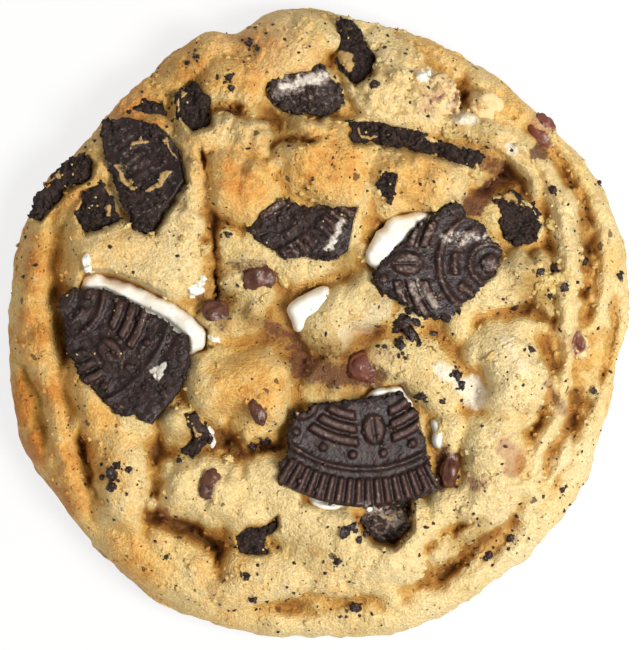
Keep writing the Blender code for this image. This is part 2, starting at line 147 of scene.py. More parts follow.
LOWER_LUMPS = (
    (7.0, 15.4, (-8, -23), (-1, -29), (6, -33.0), (12.5, -31.4)),
    (4.6, 13.4, (-13, -37.0), (-5, -36.4), (4, -36.6), (9, -36.4)),
    (6.2, 15.4, (-18.4, -23.0), (-11, -25)),
    (5.4, 15.0, (-29, -15.6), (-28.2, -21), (-28.6, -25)),
    (3.6, 15.5, (-34.0, -8), (-33.2, -13.5)),
)
MOUNDS = RIGHT_FOLDS + TOP_FOLDS + LEFT_FOLDS + UPPER_LUMPS + MIDDLE_LUMPS + RIGHT_LUMPS + LOWER_LUMPS


def through(points, steps):
    """A smooth curve through the points, as (x, y) rows."""
    if len(points) < 3:
        return [tuple(p) for p in points]
    p = [np.array(q, float) for q in points]
    p = [2 * p[0] - p[1]] + p + [2 * p[-1] - p[-2]]
    curve = []
    for a, b, c, d in zip(p, p[1:], p[2:], p[3:]):
        for step in range(steps):
            u = step / steps
            bend = (2 * a - 5 * b + 4 * c - d) * u**2 + (3 * b - a - 3 * c + d) * u**3
            curve.append(tuple(b + 0.5 * ((c - a) * u + bend)))
    return curve + [tuple(p[-2])]


def outline_radius(angle):
    """Radius of the cookie's outside at each angle in radians."""
    before = [(a - 360, r) for a, r in OUTLINE[-3:]]
    after = [(a + 360, r) for a, r in OUTLINE[:3]]
    wrapped = before + list(OUTLINE) + after
    curve = np.array(through(wrapped, 8))
    return np.interp(np.degrees(angle) % 360, curve[:, 0], curve[:, 1])


def distance_to(x, y, points):
    """Distance from each (x, y) to the smooth curve through the points."""
    line = through(points, 4)
    if len(line) == 1:
        return np.hypot(x - line[0][0], y - line[0][1])
    best = np.full(np.shape(x), np.inf)
    for (ax, ay), (bx, by) in zip(line, line[1:]):
        dx = bx - ax
        dy = by - ay
        along = np.clip(((x - ax) * dx + (y - ay) * dy) / (dx * dx + dy * dy), 0, 1)
        best = np.minimum(best, np.hypot(x - ax - along * dx, y - ay - along * dy))
    return best


def noise(x, y, size, seed):
    """Smooth random values between -1 and 1, in cells of the given size."""
    table = np.random.default_rng(seed).uniform(-1, 1, (64, 64))
    turn = 1.7 * seed
    u = (np.cos(turn) * x - np.sin(turn) * y) / size + 17.3
    v = (np.sin(turn) * x + np.cos(turn) * y) / size + 9.1
    i = np.floor(u).astype(int)
    j = np.floor(v).astype(int)
    f = u - i
    g = v - j
    f = f**3 * (f * (6 * f - 15) + 10)
    g = g**3 * (g * (6 * g - 15) + 10)
    low = table[i % 64, j % 64] * (1 - f) + table[(i + 1) % 64, j % 64] * f
    high = table[i % 64, (j + 1) % 64] * (1 - f) + table[(i + 1) % 64, (j + 1) % 64] * f
    return low * (1 - g) + high * g


def dough_height(x, y):
    """Height of the dough over each (x, y): a low dome, with every fold and lump blended into it."""
    x = np.asarray(x, float)
    y = np.asarray(y, float)
    out = np.clip(np.hypot(x, y) / outline_radius(np.arctan2(y, x)), 0, 1)
    wander_x = x + sum(reach * noise(x, y, size, 1 + k) for k, (size, reach) in enumerate(WANDER))
    wander_y = y + sum(reach * noise(x, y, size, 3 + k) for k, (size, reach) in enumerate(WANDER))
    blend = np.exp(BLEND_SHARPNESS * (RIM_HEIGHT + CROWN * (1 - out**DOME_POWER)))
    for half_width, crest, *line in MOUNDS:
        away = distance_to(wander_x, wander_y, line) / half_width
        drop = LUMP_DROP + LUMP_DROP_SHARE * half_width
        blend += np.exp(BLEND_SHARPNESS * (crest - drop * away**LUMP_POWER))
    round_over = np.sqrt(np.clip(1 - out**EDGE_POWER, 0, 1))
    return EDGE_HEIGHT + (np.log(blend) / BLEND_SHARPNESS - EDGE_HEIGHT) * round_over


# The valleys where two folds of dough meet: half width, depth, then the line.
VALLEYS = (
    (1.2, 3.8, (30, 28.4), (34.6, 23.2), (37, 18.4), (38.3, 14), (38.5, 8), (37.9, 3), (36.4, -3)),
    (0.9, 2.8, (43.1, 12), (43.0, 5), (41.6, -2), (40.2, -8)),
    (1.7, 3.2, (-5, -40.6), (0.2, -39.2), (7.5, -40), (12.8, -37.9), (20.6, -34.2), (26.4, -29.5),
     (30.6, -24.8)),
    (1.6, 3.2, (30.6, -24.8), (33.2, -19), (35.8, -14.3), (36.6, -10.7), (38.9, -5.4), (40.2, -1.5)),
    (1.3, 2.6, (14.4, -36.8), (15.9, -32.7), (18.5, -30), (22.7, -29), (26.4, -29.5)),
    (1.4, 1.9, (-37.8, 0), (-36.4, -8), (-35.2, -14), (-34, -20), (-32, -26), (-29.6, -29.6)),
    (0.9, 2.2, (-42.2, -7), (-41, -12.5), (-39.8, -16), (-38.6, -21)),
    (1.1, 3.0, (11.4, 42.4), (14.9, 38.2), (19.6, 34.8), (20.7, 31.7)),
    (1.1, 2.2, (19.6, 34.8), (24, 32.8), (29, 29.6)),
    (1.1, 3.2, (32.8, 14.5), (33.7, 8.5), (33.4, 1.5), (32.2, -3)),
    (1.0, 2.6, (22.6, 0.4), (26, 1.9), (30, 1.6), (33, -0.4)),
    (1.0, 2.8, (33.2, -0.6), (34.0, -6), (32.2, -11.6), (28.5, -13.4), (23.6, -12.6)),
    (1.9, 4.2, (21.6, 24.4), (25, 22.6), (28.4, 20.2)),
    (0.9, 2.6, (33.2, 17), (33.0, 12.8), (30.4, 10)),
    (0.9, 2.4, (27.2, 26.4), (31.4, 22.0), (33.2, 17)),
    (1.1, 2.4, (21, 36.6), (20.8, 33.4), (20, 30.6)),
    (0.9, 1.8, (26.6, 33), (26.8, 30), (28.4, 28)),
    (1.0, 1.8, (8.4, 12.6), (9.6, 16.4), (14.4, 17.6)),
    (0.9, 1.8, (4.6, -0.8), (9.6, -1.8), (14, 0)),
    (1.2, 2.0, (-38.4, 16), (-38.6, 10), (-38.8, 3)),
    (1.3, 2.4, (21.6, -12.4), (20.0, -17.6), (20.6, -22.5)),
    (1.2, 1.5, (22.4, 1.2), (22.4, -4.5), (23.2, -9.8), (20.8, -13)),
    (1.6, 2.6, (-14, -13.4), (-6, -15.2), (-3.4, -9.5), (-4.2, -5), (-9.5, -3.4), (-14.6, -4.6)),
    (1.2, 2.2, (7.2, 17.4), (7.2, 20.6), (8.2, 24.4)),
    (1.5, 2.8, (28.5, -21.1), (30.6, -15.4), (33.2, -9.6), (32.7, -3.4)),
    (1.2, 2.2, (-24.6, -27.5), (-22, -28.7), (-18, -30.2), (-15, -32.6), (-14.2, -36)),
    (1.1, 2.0, (-26.4, -16), (-23.6, -20), (-23.2, -24)),
    (1.0, 1.8, (-6.5, 26.2), (-6.0, 22.4), (-6.6, 18.6)),
)
# Narrower lines along which the crust tore.
TEARS = (
    (0.6, 2.6, (-17, 24.6), (-16.3, 21), (-16.7, 17.5), (-15.7, 15), (-15.4, 10), (-15.3, 4.5)),
    (0.5, 2.4, (-23, -22.5), (-24.5, -24), (-25.8, -25.6), (-25, -27.4)),
    (0.6, 2.2, (-25, -27.4), (-22, -28.7), (-18, -30.2), (-15, -32.6), (-15.6, -36)),
    (0.8, 3.0, (-15.5, -16.6), (-10, -17.6), (-5, -17.4)),
    (0.8, 3.0, (-12, 30.7), (-7, 28.4), (-5, 26.8), (-1, 26.6)),
    (1.1, 3.4, (22.5, 24.6), (25.5, 22.5), (25.3, 19.8)),
    (0.8, 2.8, (19, 32), (20.3, 33.4), (19.6, 35)),
    (0.8, 1.8, (37, 18.4), (38.3, 14), (38.5, 8), (37.4, 1)),
    (0.9, 1.3, (12.8, -37.9), (20.6, -34.2), (26.4, -29.5), (30.6, -24.8)),
    (0.9, 1.2, (30.6, -24.8), (33.2, -19), (35.8, -14.3)),
    (0.8, 1.1, (15.9, -32.7), (18.5, -30), (22.7, -29)),
    (0.8, 1.3, (30.6, -15.4), (33.2, -9.6), (32.7, -3.4)),
    (0.8, 1.6, (12, 41.6), (14.9, 38.2), (19.6, 34.8)),
    (0.6, 1.1, (-35.2, -14), (-34, -20), (-32, -26)),
    (0.5, 1.6, (6.6, -3.4), (1.5, -5), (-3.5, -4.2)),
    (0.5, 1.6, (-20.6, 6), (-26, 5.4), (-31, 7.6)),
    (0.8, 1.5, (30, 28.4), (34.6, 23.2), (37, 18.4)),
)

# The fine relief of the crust: cell size, height. The last ones are its crumb.
RELIEF = ((6.5, 1.0), (3.2, 0.72), (1.6, 0.34), (0.8, 0.16), (0.45, 0.11))


# Where the crust broke into loose crumbs: centre, reach, strength.
CRUMBLY = (
    ((-18.5, 14), 4.5, 1.0), ((-19, 20), 3.0, 0.8), ((-12, 28), 4.0, 0.9), ((12, 34), 6.0, 0.9),
    ((22, 33), 5.0, 0.8), ((34, 17), 5.0, 0.9), ((36, -8), 5.0, 0.8), ((29, -21), 6.0, 0.8),
    ((-12, -20), 4.0, 0.5), ((18, 25), 4.0, 0.8), ((-25, -25), 4.0, 0.6), ((40, 11), 4.0, 0.7),
    ((-10, 4), 4.0, 0.5), ((30, 5), 4.0, 0.7), ((18, -30), 4.0, 0.6), ((-20, -19), 4.0, 0.6),
    ((-36, 14), 4.0, 0.5), ((0, 31), 3.0, 0.6),
)


def patches(x, y, places):
    """The strongest of several soft-edged round patches at each (x, y)."""
    x = x + 1.2 * noise(x, y, 3.6, 61) + 0.5 * noise(x, y, 1.4, 62)
    y = y + 1.2 * noise(x, y, 3.6, 63) + 0.5 * noise(x, y, 1.4, 64)
    value = np.zeros(np.shape(x))
    for (px, py), reach, strength in places:
        value = np.maximum(value, strength * np.exp(-(((x - px) ** 2 + (y - py) ** 2) / reach**2)))
    return value


def bumps(x, y, seed):
    """The fine relief over each (x, y): soft puffs that meet in creases, crumbly in places."""
    crumbly = np.clip(0.8 + 0.9 * noise(x, y, 8.0, seed + 9), 0.35, 1.5) + 1.3 * patches(x, y, CRUMBLY)
    total = 0
    for step, (size, high) in enumerate(RELIEF):
        soft = noise(x, y, size, seed + step)
        puff = 1.9 * np.sqrt(soft**2 + 0.02) - 0.72
        total = total + high * (0.6 * puff + 0.4 * soft) * (crumbly if step else 1)
    return total


def groove_depth(x, y, lines, sharpness, uneven, seed):
    """How deep a set of grooves cuts at each (x, y). They wander, and widen and narrow along their way."""
    x = (x + 0.7 * noise(x, y, 3.4, seed)
         + uneven * (0.6 * noise(x, y, 1.2, seed + 1) + 0.3 * noise(x, y, 0.6, seed + 2)))
    y = (y + 0.7 * noise(x, y, 3.4, seed + 3)
         + uneven * (0.6 * noise(x, y, 1.2, seed + 4) + 0.3 * noise(x, y, 0.6, seed + 5)))
    wide = 1.2 + uneven * noise(x, y, 4.5, seed + 6)
    deep = np.zeros(np.shape(x))
    for half_width, depth, *line in lines:
        away = distance_to(x, y, line) / half_width
        deep = np.maximum(deep, depth * np.exp(-((away / wide) ** sharpness)))
    return deep * (0.95 + uneven * noise(x, y, 3.4, seed + 7))


def faces_of(name):
    """A CAD node's corners in millimetres, merged, and its triangles."""
    mesh = frame["nodes"][name].data
    points = np.array([v.co for v in mesh.vertices]) / MM
    keys, index = np.unique(np.round(points, 2), axis=0, return_inverse=True)
    triangles = np.array([tuple(p.vertices) for p in mesh.polygons])
    return keys, index.reshape(-1)[triangles]


def flat_face(name, upward):
    """The corners in order round a plate's upper or lower face, and that face's plane z = a x + b y + c."""
    points, triangles = faces_of(name)
    corner = points[triangles]
    normal = np.cross(corner[:, 1] - corner[:, 0], corner[:, 2] - corner[:, 0])
    unit = normal / np.linalg.norm(normal, axis=1, keepdims=True)
    facing = unit[:, 2] > 0.7 if upward else unit[:, 2] < -0.7
    edges = {(t[k], t[(k + 1) % 3]) for t in triangles[facing].tolist() for k in range(3)}
    after = {start: end for start, end in edges if (end, start) not in edges}
    ring = [min(after)]
    while after[ring[-1]] != ring[0]:
        ring.append(after[ring[-1]])
    if not upward:
        ring = ring[::-1]
    corners = points[ring]
    table = np.column_stack([corners[:, :2], np.ones(len(corners))])
    return corners, np.linalg.lstsq(table, corners[:, 2], rcond=None)[0]


def outside_of(x, y, corners):
    """Signed distance from each (x, y) to an outline: negative inside."""
    x = np.asarray(x, float)
    y = np.asarray(y, float)
    near = np.full(x.shape, np.inf)
    inside = np.zeros(x.shape, bool)
    for (ax, ay), (bx, by) in zip(corners[:, :2], np.roll(corners[:, :2], -1, axis=0)):
        dx = bx - ax
        dy = by - ay
        along = np.clip(((x - ax) * dx + (y - ay) * dy) / (dx * dx + dy * dy), 0, 1)
        near = np.minimum(near, np.hypot(x - ax - along * dx, y - ay - along * dy))
        crossed = (ay > y) != (by > y)
        inside ^= crossed & (x < ax + dx * (y - ay) / (dy if dy else 1e-9))
    return np.where(inside, -near, near)


# Every flat piece that is pressed into the dough, and how far the dough climbs its sides.
PRESSED = {name: flat_face(name, False) for name in sorted(frame["nodes"]) if name.startswith("wafer_")}
PRESSED |= {name: flat_face(name, False) for name in ("creme_front", "creme_left", "creme_right")}
CLIMB = {"creme_front": 0.7, "creme_left": 0.6, "creme_right": 0.5}
USUAL_CLIMB = 1.1
HELD_UP = ("wafer_front", "wafer_left", "wafer_right")  # these lie on creme, not on dough


def bedded(x, y, z):
    """The dough's height once the pieces are pressed in: it dips under each, and banks up round it."""
    for name, (corners, (a, b, c)) in PRESSED.items():
        near = outside_of(x, y, corners)
        lower = a * x + b * y + c
        wobble = 0.35 * noise(x, y, 1.6, 31) + 0.2 * noise(x, y, 0.7, 32)
        under = lower + 0.25 + 5 * np.maximum(0, near + 0.15)
        z = np.minimum(z, np.where(near < 2.0, under + 3 * np.maximum(0, near - 0.4), np.inf))
        if name not in HELD_UP:
            bank = (lower + CLIMB.get(name, USUAL_CLIMB) + wobble
                    - 1.1 * np.maximum(0, near) - 4 * np.maximum(0, -near))
            z = np.where(near > -0.6, np.maximum(z, np.where(near < 3, bank, -np.inf)), z)
    return z


def disc_grid(count):
    """A square grid of points pulled out to a disc of radius 1, as x and y arrays."""
    u, v = np.meshgrid(np.linspace(-1, 1, count), np.linspace(-1, 1, count), indexing="ij")
    steep = np.abs(u) < np.abs(v)
    radius = np.where(steep, v, u)
    other = np.where(steep, u, v)
    turn = np.pi / 4 * other / np.where(radius == 0, 1, radius)
    angle = np.where(steep, np.pi / 2 - turn, turn)
    return radius * np.cos(angle), radius * np.sin(angle)


def box_blur(values, reach):
    """Each value of a grid averaged with those around it, twice over."""
    for _ in range(2):
        for axis in (0, 1):
            padded = np.pad(values, [(reach + 1, reach) if k == axis else (0, 0) for k in (0, 1)],
                            mode="edge")
            total = np.cumsum(padded, axis=axis)
            count = values.shape[axis]
            low = np.take(total, np.arange(count), axis=axis)
            high = np.take(total, np.arange(count) + 2 * reach + 1, axis=axis)
            values = (high - low) / (2 * reach + 1)
    return values


TOP_COUNT = 276  # points each way across the top
SIDE_ROWS = 15  # rows of points from the widest line down to the base


def dough_shape():
    """Points and faces of the whole crust, and the grid of the top's heights."""
    x, y = disc_grid(TOP_COUNT)
    share = np.clip(np.hypot(x, y), 1e-9, 1)
    angle = np.arctan2(y, x)
    crinkle = 0.32 * noise(np.cos(angle) * 45, np.sin(angle) * 45, 4.0, 41)
    crinkle += 0.16 * noise(np.cos(angle) * 45, np.sin(angle) * 45, 1.5, 42)
    radius = outline_radius(angle) + crinkle
    out = 1 - (1 - share) ** 1.2
    x = out * radius * np.cos(angle)
    y = out * radius * np.sin(angle)
    near_edge = np.sqrt(np.clip(1 - out**EDGE_POWER, 0, 1))
    grooves = groove_depth(x, y, VALLEYS, 1.5, 0.3, 150) + groove_depth(x, y, TEARS, 1.8, 0.8, 160)
    z = dough_height(x, y) - near_edge * grooves
    z = bedded(x, y, z) + (0.25 + 0.75 * near_edge) * bumps(x, y, 50)
    count = TOP_COUNT
    index = np.arange(count * count).reshape(count, count)
    quads = np.stack([index[:-1, :-1], index[1:, :-1], index[1:, 1:], index[:-1, 1:]],
                     axis=-1).reshape(-1, 4)
    loop = np.concatenate([index[:, 0], index[-1, 1:], index[-2::-1, -1], index[0, -2:0:-1]])
    points = [np.stack([x, y, z], axis=-1).reshape(-1, 3)]
    edge = points[0][loop]
    around_edge = np.arctan2(edge[:, 1], edge[:, 0])
    wide = np.hypot(edge[:, 0], edge[:, 1])
    faces = [quads]
    above = loop
    for row in range(1, SIDE_ROWS + 1):
        down = row / SIDE_ROWS
        height = edge[:, 2] * (1 - down)
        tuck = 2.1 * down**2.6
        rough = (1 - down) * down * 4 * (
            0.45 * noise(around_edge * 45, height + 60, 3.2, 43)
            + 0.25 * noise(around_edge * 45, height * 1.5 + 60, 1.3, 44)
            + 0.12 * noise(around_edge * 45, height * 1.5 + 60, 0.6, 45)
        )
        inner = wide - tuck + rough
        ring = np.stack([inner * np.cos(around_edge), inner * np.sin(around_edge), height], axis=-1)
        first = sum(len(p) for p in points)
        below = first + np.arange(len(loop))
        points.append(ring)
        faces.append(np.stack([above, np.roll(above, -1), np.roll(below, -1), below], axis=-1)[:, ::-1])
        above = below
    return np.vstack(points), np.vstack(faces), above[::-1], z


def shell(name, points, faces, caps=()):
    """A smooth mesh object from points in millimetres."""
    mesh = bpy.data.meshes.new(name)
    every = faces if isinstance(faces, list) else faces.tolist()
    mesh.from_pydata((points * MM).tolist(), [], every + [list(cap) for cap in caps])
    mesh.update()
    turned = bmesh.new()
    turned.from_mesh(mesh)
    bmesh.ops.recalc_face_normals(turned, faces=turned.faces)
    turned.to_mesh(mesh)
    turned.free()
    mesh.shade_smooth()
    made = bpy.data.objects.new(name, mesh)
    bpy.context.scene.collection.objects.link(made)
    return made


def keep(piece, name, values):
    """Store a value for each point of a piece, for its material to read."""
    attribute = piece.data.attributes.new(name, "FLOAT", "POINT")
    attribute.data.foreach_set("value", np.asarray(values, np.float32))


crust_points, crust_faces, crust_base, top_heights = dough_shape()
crust = shell("dough_crust", crust_points, crust_faces, [crust_base])

# Where the oven browned the crust: centre, reach, strength from golden to orange.
BROWNED = (
    ((-11, 21), 6.0, 0.65), ((1, 23), 6.5, 0.65), ((14, 21.5), 6.0, 0.45), ((-10.5, -9), 6.0, 0.5),
    ((-16, 23), 4.0, 0.4), ((-10, 40), 8.0, 0.7), ((-19, 38), 6.0, 0.7), ((-28, 32), 7.0, 0.85),
    ((-38, 21), 6.0, 0.9), ((-2, 38), 4.0, 0.5), ((-41, 9), 6.5, 0.7), ((-42, -1), 6.0, 0.7),
    ((-43.5, -11), 4.5, 1.15), ((-41.5, -18), 4.5, 1.15), ((-37.5, -10), 4.5, 0.7),
    ((-38, -26), 6.0, 0.8), ((-28, -36), 7.0, 0.6), ((18, 40), 6.0, 0.45), ((28, 33), 5.0, 0.4),
    ((-34, -20), 5.0, 0.7), ((38, 24), 6.0, 0.15), ((43, 9), 5.0, 0.25), ((-34, -14), 5.0, 0.5),
    ((-14, -36), 6.0, 0.3), ((-14, -43), 6.0, 0.35), ((42, -6), 4.0, 0.4), ((-28, 11), 5.0, 0.25),
    ((2, -42), 6.0, 0.2), ((43.5, -12), 3.0, 0.7), ((24, 23), 3.0, 0.4),
)
# Where it stayed pale.
PALE = (
    ((-23, 9), 7.0, 0.45), ((-16, 14), 4.0, 0.5), ((4, 10), 6.0, 0.3), ((-8, 2), 5.0, 0.3),
    ((-30, 3), 4.0, 0.3), ((-2, -43), 7.0, 0.5), ((-13, -41), 6.0, 0.3), ((6, 42), 5.0, 0.5),
    ((-12, 43), 5.0, 0.3), ((-31, 31), 5.0, 0.25), ((43, 3), 4.0, 0.5), ((41, 15), 5.0, 0.4),
    ((35, 14), 5.0, 0.5), ((25, -18), 6.0, 0.3), ((-4, -30), 5.0, 0.2), ((17, 33), 6.0, 0.4),
    ((20, 24), 4.0, 0.3), ((-6, 43), 3.0, 0.5), ((-12, 27.5), 4.0, 0.5), ((40, -12), 4.0, 0.5),
    ((-26, -22), 5.0, 0.2), ((28, -7), 6.0, 0.7), ((38, -20), 7.0, 0.8), ((29, -33), 8.0, 0.9),
    ((16, -41), 8.0, 0.6), ((5, -1), 5.0, 0.4), ((-4, 39), 4.0, 0.5), ((25, 5), 5.0, 0.3),
    ((12, 33), 5.0, 0.3), ((20, 20), 3.0, 0.3),
)
# Where melted chocolate was dragged into the dough: half width, strength, line.
SMEARED = (
    (2.6, 0.85, (-3, -6), (2, -7.6), (7.5, -7.6)),
    (1.8, 0.55, (-10.4, 1.4), (-6.4, -2.6), (-1.4, -4.4), (3.6, -4.2)),
    (1.3, 0.5, (4.6, -2.2), (8.4, -3.6), (10.6, -5.4)),
    (1.2, 0.5, (-14.6, 9.6), (-14.2, 5.2), (-12.4, 2.0)), (1.4, 0.7, (-12.6, 8.2), (-9, 8.4)),
    (1.3, 0.8, (-7.4, -0.6), (-3, -3)), (1.8, 0.9, (24.4, 20), (21.8, 16.6)),
    (1.6, 0.75, (22, 24), (26.4, 22.2)), (1.0, 0.5, (27.4, -16.4), (27, -21)),
    (0.9, 0.6, (20.4, -21.6), (22.8, -24)), (0.9, 0.6, (-23.4, -27), (-19.6, -28.8)),
    (1.4, 0.6, (33.2, -8.8), (34.8, -12.2)), (1.6, 0.9, (31.6, 25)),
    (1.5, 0.8, (17.6, -19), (17.4, -23.5)), (1.2, 0.6, (-17.6, 4), (-14, 0)),
    (1.0, 0.75, (19.4, 31.6), (20.4, 33.4)), (1.4, 0.6, (25.4, 23.2), (25.2, 19.6)),
)
# Where creme melted into it.
MILKY = (
    (1.0, 0.7, (19.0, 30.4), (21.6, 29.0)), (0.8, 0.6, (27.4, 25.4), (28.6, 24.6)),
    (1.2, 0.9, (17.2, -6.6), (19, -7.4)), (1.8, 0.9, (21.2, -8.6), (22.8, -10.4)),
    (0.9, 0.8, (14.2, 35.2), (15.4, 35.8)), (1.8, 0.4, (3.5, -2), (9.5, 2.5)),
    (1.6, 0.4, (27, -3), (28.6, -6)),
)


# Where the crust is coloured darker, partly for butter that soaked it and partly as painted shade: centre,
# reach, strength.
SOAKED_AND_SHADED = (
    ((4.6, 8.4), 3.2, 1.0), ((8.2, 3.4), 2.6, 0.6), ((-9.6, 0.4), 3.2, 0.8),
    ((-14.6, 1.6), 3.0, 0.8), ((10.4, 9.6), 3.0, 0.7), ((31, 5), 4.2, 0.95),
    ((-1, -32.5), 5.0, 0.5), ((1, -5.5), 6.5, 0.8), ((-13.5, 3), 4.0, 0.6), ((21.8, -31), 4.0, 0.7),
    ((-6, 4.5), 4.0, 0.4), ((26, 21.5), 4.0, 0.8), ((14, -9.5), 3.4, 0.5), ((30, -14), 4.0, 0.35),
    ((-17, -30), 4.0, 0.3), ((22, 27), 4.0, 0.5), ((-7, 29), 4.0, 0.5), ((-20, -17), 4.0, 0.6),
    ((8, 0), 4.0, 0.35), ((37.5, 12), 4.0, 0.4),
)
# Where the fat of a chip stained it pink.
ROSY = (
    (1.5, 0.9, (26.5, -17.6), (28.2, -19.6), (27.2, -21.5)),
    (0.8, 0.9, (20.4, -22.6), (22.6, -23.6), (23.4, -22.4)),
    (1.3, 0.7, (33.4, -9.4), (34.8, -12.4)), (1.5, 0.8, (15.2, 31.2), (17.6, 33.6)),
    (1.2, 0.6, (22.6, 30.6), (24.4, 31.8)), (1.4, 0.9, (30.6, 28.6), (32.4, 27.2)),
    (1.0, 0.8, (-23.4, -27), (-19.6, -28.8)), (1.2, 0.7, (7.2, -5.4), (9, -4.2)),
    (1.2, 0.7, (36.2, -1.6), (37.2, -4.6)), (0.9, 0.8, (17.8, -18), (17.4, -23)),
)


def streaks(x, y, places):
    """The strongest of several ragged streaks at each (x, y)."""
    x = x + 0.7 * noise(x, y, 1.7, 71) + 0.35 * noise(x, y, 0.7, 72)
    y = y + 0.7 * noise(x, y, 1.7, 73) + 0.35 * noise(x, y, 0.7, 74)
    value = np.zeros(np.shape(x))
    for half_width, strength, *line in places:
        away = distance_to(x, y, line) / half_width
        value = np.maximum(value, strength * np.clip(1.6 - 1.2 * away, 0, 1))
    return value


def wide_to_all(values, side):
    """Values of the top's grid, followed by one value for each point of the side."""
    return np.concatenate([values.reshape(-1), side])


top_x, top_y, top_z = crust_points[:TOP_COUNT**2].T
side_points = crust_points[TOP_COUNT**2:]
side_down = 1 - side_points[:, 2] / side_points[:, 2].max()
# How far each point of the top lies below the dough around it, at three widths. The dough's material paints
# shade into these hollows and a highlight onto the crests between them; near the outline the painted shade
# fades out and a faint painted highlight takes its place.
hollow = box_blur(top_heights, 5) - top_heights
hollow_wide = box_blur(top_heights, 16) - top_heights
hollow_broad = box_blur(top_heights, 34) - top_heights
sunk = 0.34 * hollow + 0.20 * hollow_wide + 0.13 * hollow_broad
rim_share = np.clip(np.hypot(*disc_grid(TOP_COUNT)), 0, 1) ** 8
sunk = sunk * (1 - rim_share) - 0.05 * rim_share
keep(crust, "hollow", wide_to_all(np.clip(sunk, -1, 1.5), -0.05 + 0 * side_down))
baked_side = patches(*side_points[:, :2].T, BROWNED) + 0.5 * side_down**2
keep(crust, "browned", wide_to_all(patches(top_x, top_y, BROWNED), baked_side))
keep(crust, "soaked", wide_to_all(patches(top_x, top_y, SOAKED_AND_SHADED), 0 * side_down))
keep(crust, "pale", patches(*crust_points[:, :2].T, PALE))
keep(crust, "smeared", wide_to_all(streaks(top_x, top_y, SMEARED), 0 * side_down))
keep(crust, "rosy", wide_to_all(streaks(top_x, top_y, ROSY), 0 * side_down))
keep(crust, "milky", wide_to_all(streaks(top_x, top_y, MILKY), 0 * side_down))


def plug(tree, socket, value):
    """Give an input its value, or link it from another socket."""
    if isinstance(value, bpy.types.NodeSocket):
        tree.links.new(value, socket)
    else:
        socket.default_value = value


def add(tree, kind, inputs=None, **settings):
    """Add a node, with its settings and its inputs: a value, or a socket to link from."""
    node = tree.nodes.new(kind)
    for name, value in settings.items():
        setattr(node, name, value)
    for name, value in (inputs or {}).items():
        plug(tree, node.inputs[name], value)
    return node


def rgb(red, green, blue):
    """A colour given as 0 to 255 screen values, as the linear colour that a shader takes."""
    return tuple(((c / 255 + 0.055) / 1.055) ** 2.4 if c > 10 else c / 3294.6
                 for c in (red, green, blue)) + (1,)


def mixed(tree, factor, first, second, blend="MIX"):
    """A colour between two others."""
    node = add(tree, "ShaderNodeMix", data_type="RGBA", blend_type=blend)
    for socket, value in ((node.inputs[0], factor), (node.inputs[6], first), (node.inputs[7], second)):
        plug(tree, socket, value)
    return node.outputs[2]


def ramped(tree, value, low, high, to_low=0.0, to_high=1.0):
    """A value remapped from one range to another, and held inside it."""
    node = add(tree, "ShaderNodeMapRange",
               {"Value": value, "From Min": low, "From Max": high, "To Min": to_low, "To Max": to_high},
               interpolation_type="SMOOTHSTEP")
    return node.outputs["Result"]


def sums(tree, operation, first, second):
    """A Math node's result."""
    node = add(tree, "ShaderNodeMath", operation=operation)
    for socket, value in zip(node.inputs, (first, second)):
        plug(tree, socket, value)
    return node.outputs[0]


def cloudy(tree, place, scale, detail, roughness=0.5):
    """A soft random variation over the place given."""
    return add(tree, "ShaderNodeTexNoise",
               {"Vector": place, "Scale": scale, "Detail": detail, "Roughness": roughness})


def bumped(tree, shader, height, strength, distance):
    """Relief in a material, finer than its mesh."""
    bump = add(tree, "ShaderNodeBump", {"Height": height, "Strength": strength, "Distance": distance})
    tree.links.new(bump.outputs[0], shader.inputs["Normal"])


def stored(tree, name):
    """A value stored on the mesh."""
    return add(tree, "ShaderNodeAttribute", attribute_name=name).outputs["Fac"]


def speck_group():
    """The specks that several materials share: 1 on a speck. Only some of their cells hold one."""
    group = bpy.data.node_groups.new("cocoa_specks", "ShaderNodeTree")
    group.interface.new_socket("Place", in_out="INPUT", socket_type="NodeSocketVector")
    for name in ("Cell", "Share", "Shift"):
        group.interface.new_socket(name, in_out="INPUT", socket_type="NodeSocketFloat")
    group.interface.new_socket("Speck", in_out="OUTPUT", socket_type="NodeSocketFloat")
    start = add(group, "NodeGroupInput")
    scale = sums(group, "DIVIDE", 1.0, start.outputs["Cell"])
    ragged = cloudy(group, start.outputs["Place"], sums(group, "MULTIPLY", scale, 1.6), 3.0)
    pushed = add(group, "ShaderNodeVectorMath",
                 {0: ragged.outputs["Color"], "Scale": start.outputs["Cell"]}, operation="SCALE")
    away = add(group, "ShaderNodeVectorMath", {0: start.outputs["Place"], 1: start.outputs["Shift"]},
               operation="ADD")
    moved = add(group, "ShaderNodeVectorMath", {0: away.outputs[0], 1: pushed.outputs[0]},
                operation="ADD")
    cells = add(group, "ShaderNodeTexVoronoi",
                {"Vector": moved.outputs[0], "Scale": scale, "Randomness": 1.0})
    pick = add(group, "ShaderNodeSeparateColor", {"Color": cells.outputs["Color"]})
    reach = sums(group, "ADD", 0.08, sums(group, "MULTIPLY", pick.outputs[1], 0.34))
    inside = sums(group, "SUBTRACT", reach, cells.outputs["Distance"])
    chosen = sums(group, "LESS_THAN", pick.outputs[0], start.outputs["Share"])
    add(group, "NodeGroupOutput",
        {"Speck": sums(group, "MULTIPLY", ramped(group, inside, 0.0, 0.08), chosen)})
    return group


cocoa_specks = speck_group()


def speckle(tree, place, cell, share, shift):
    """Specks: their cells' size in metres, the share of cells that hold one, and where they start."""
    specks = add(tree, "ShaderNodeGroup",
                 {"Place": place, "Cell": cell, "Share": share, "Shift": shift}, node_tree=cocoa_specks)
    return specks.outputs["Speck"]


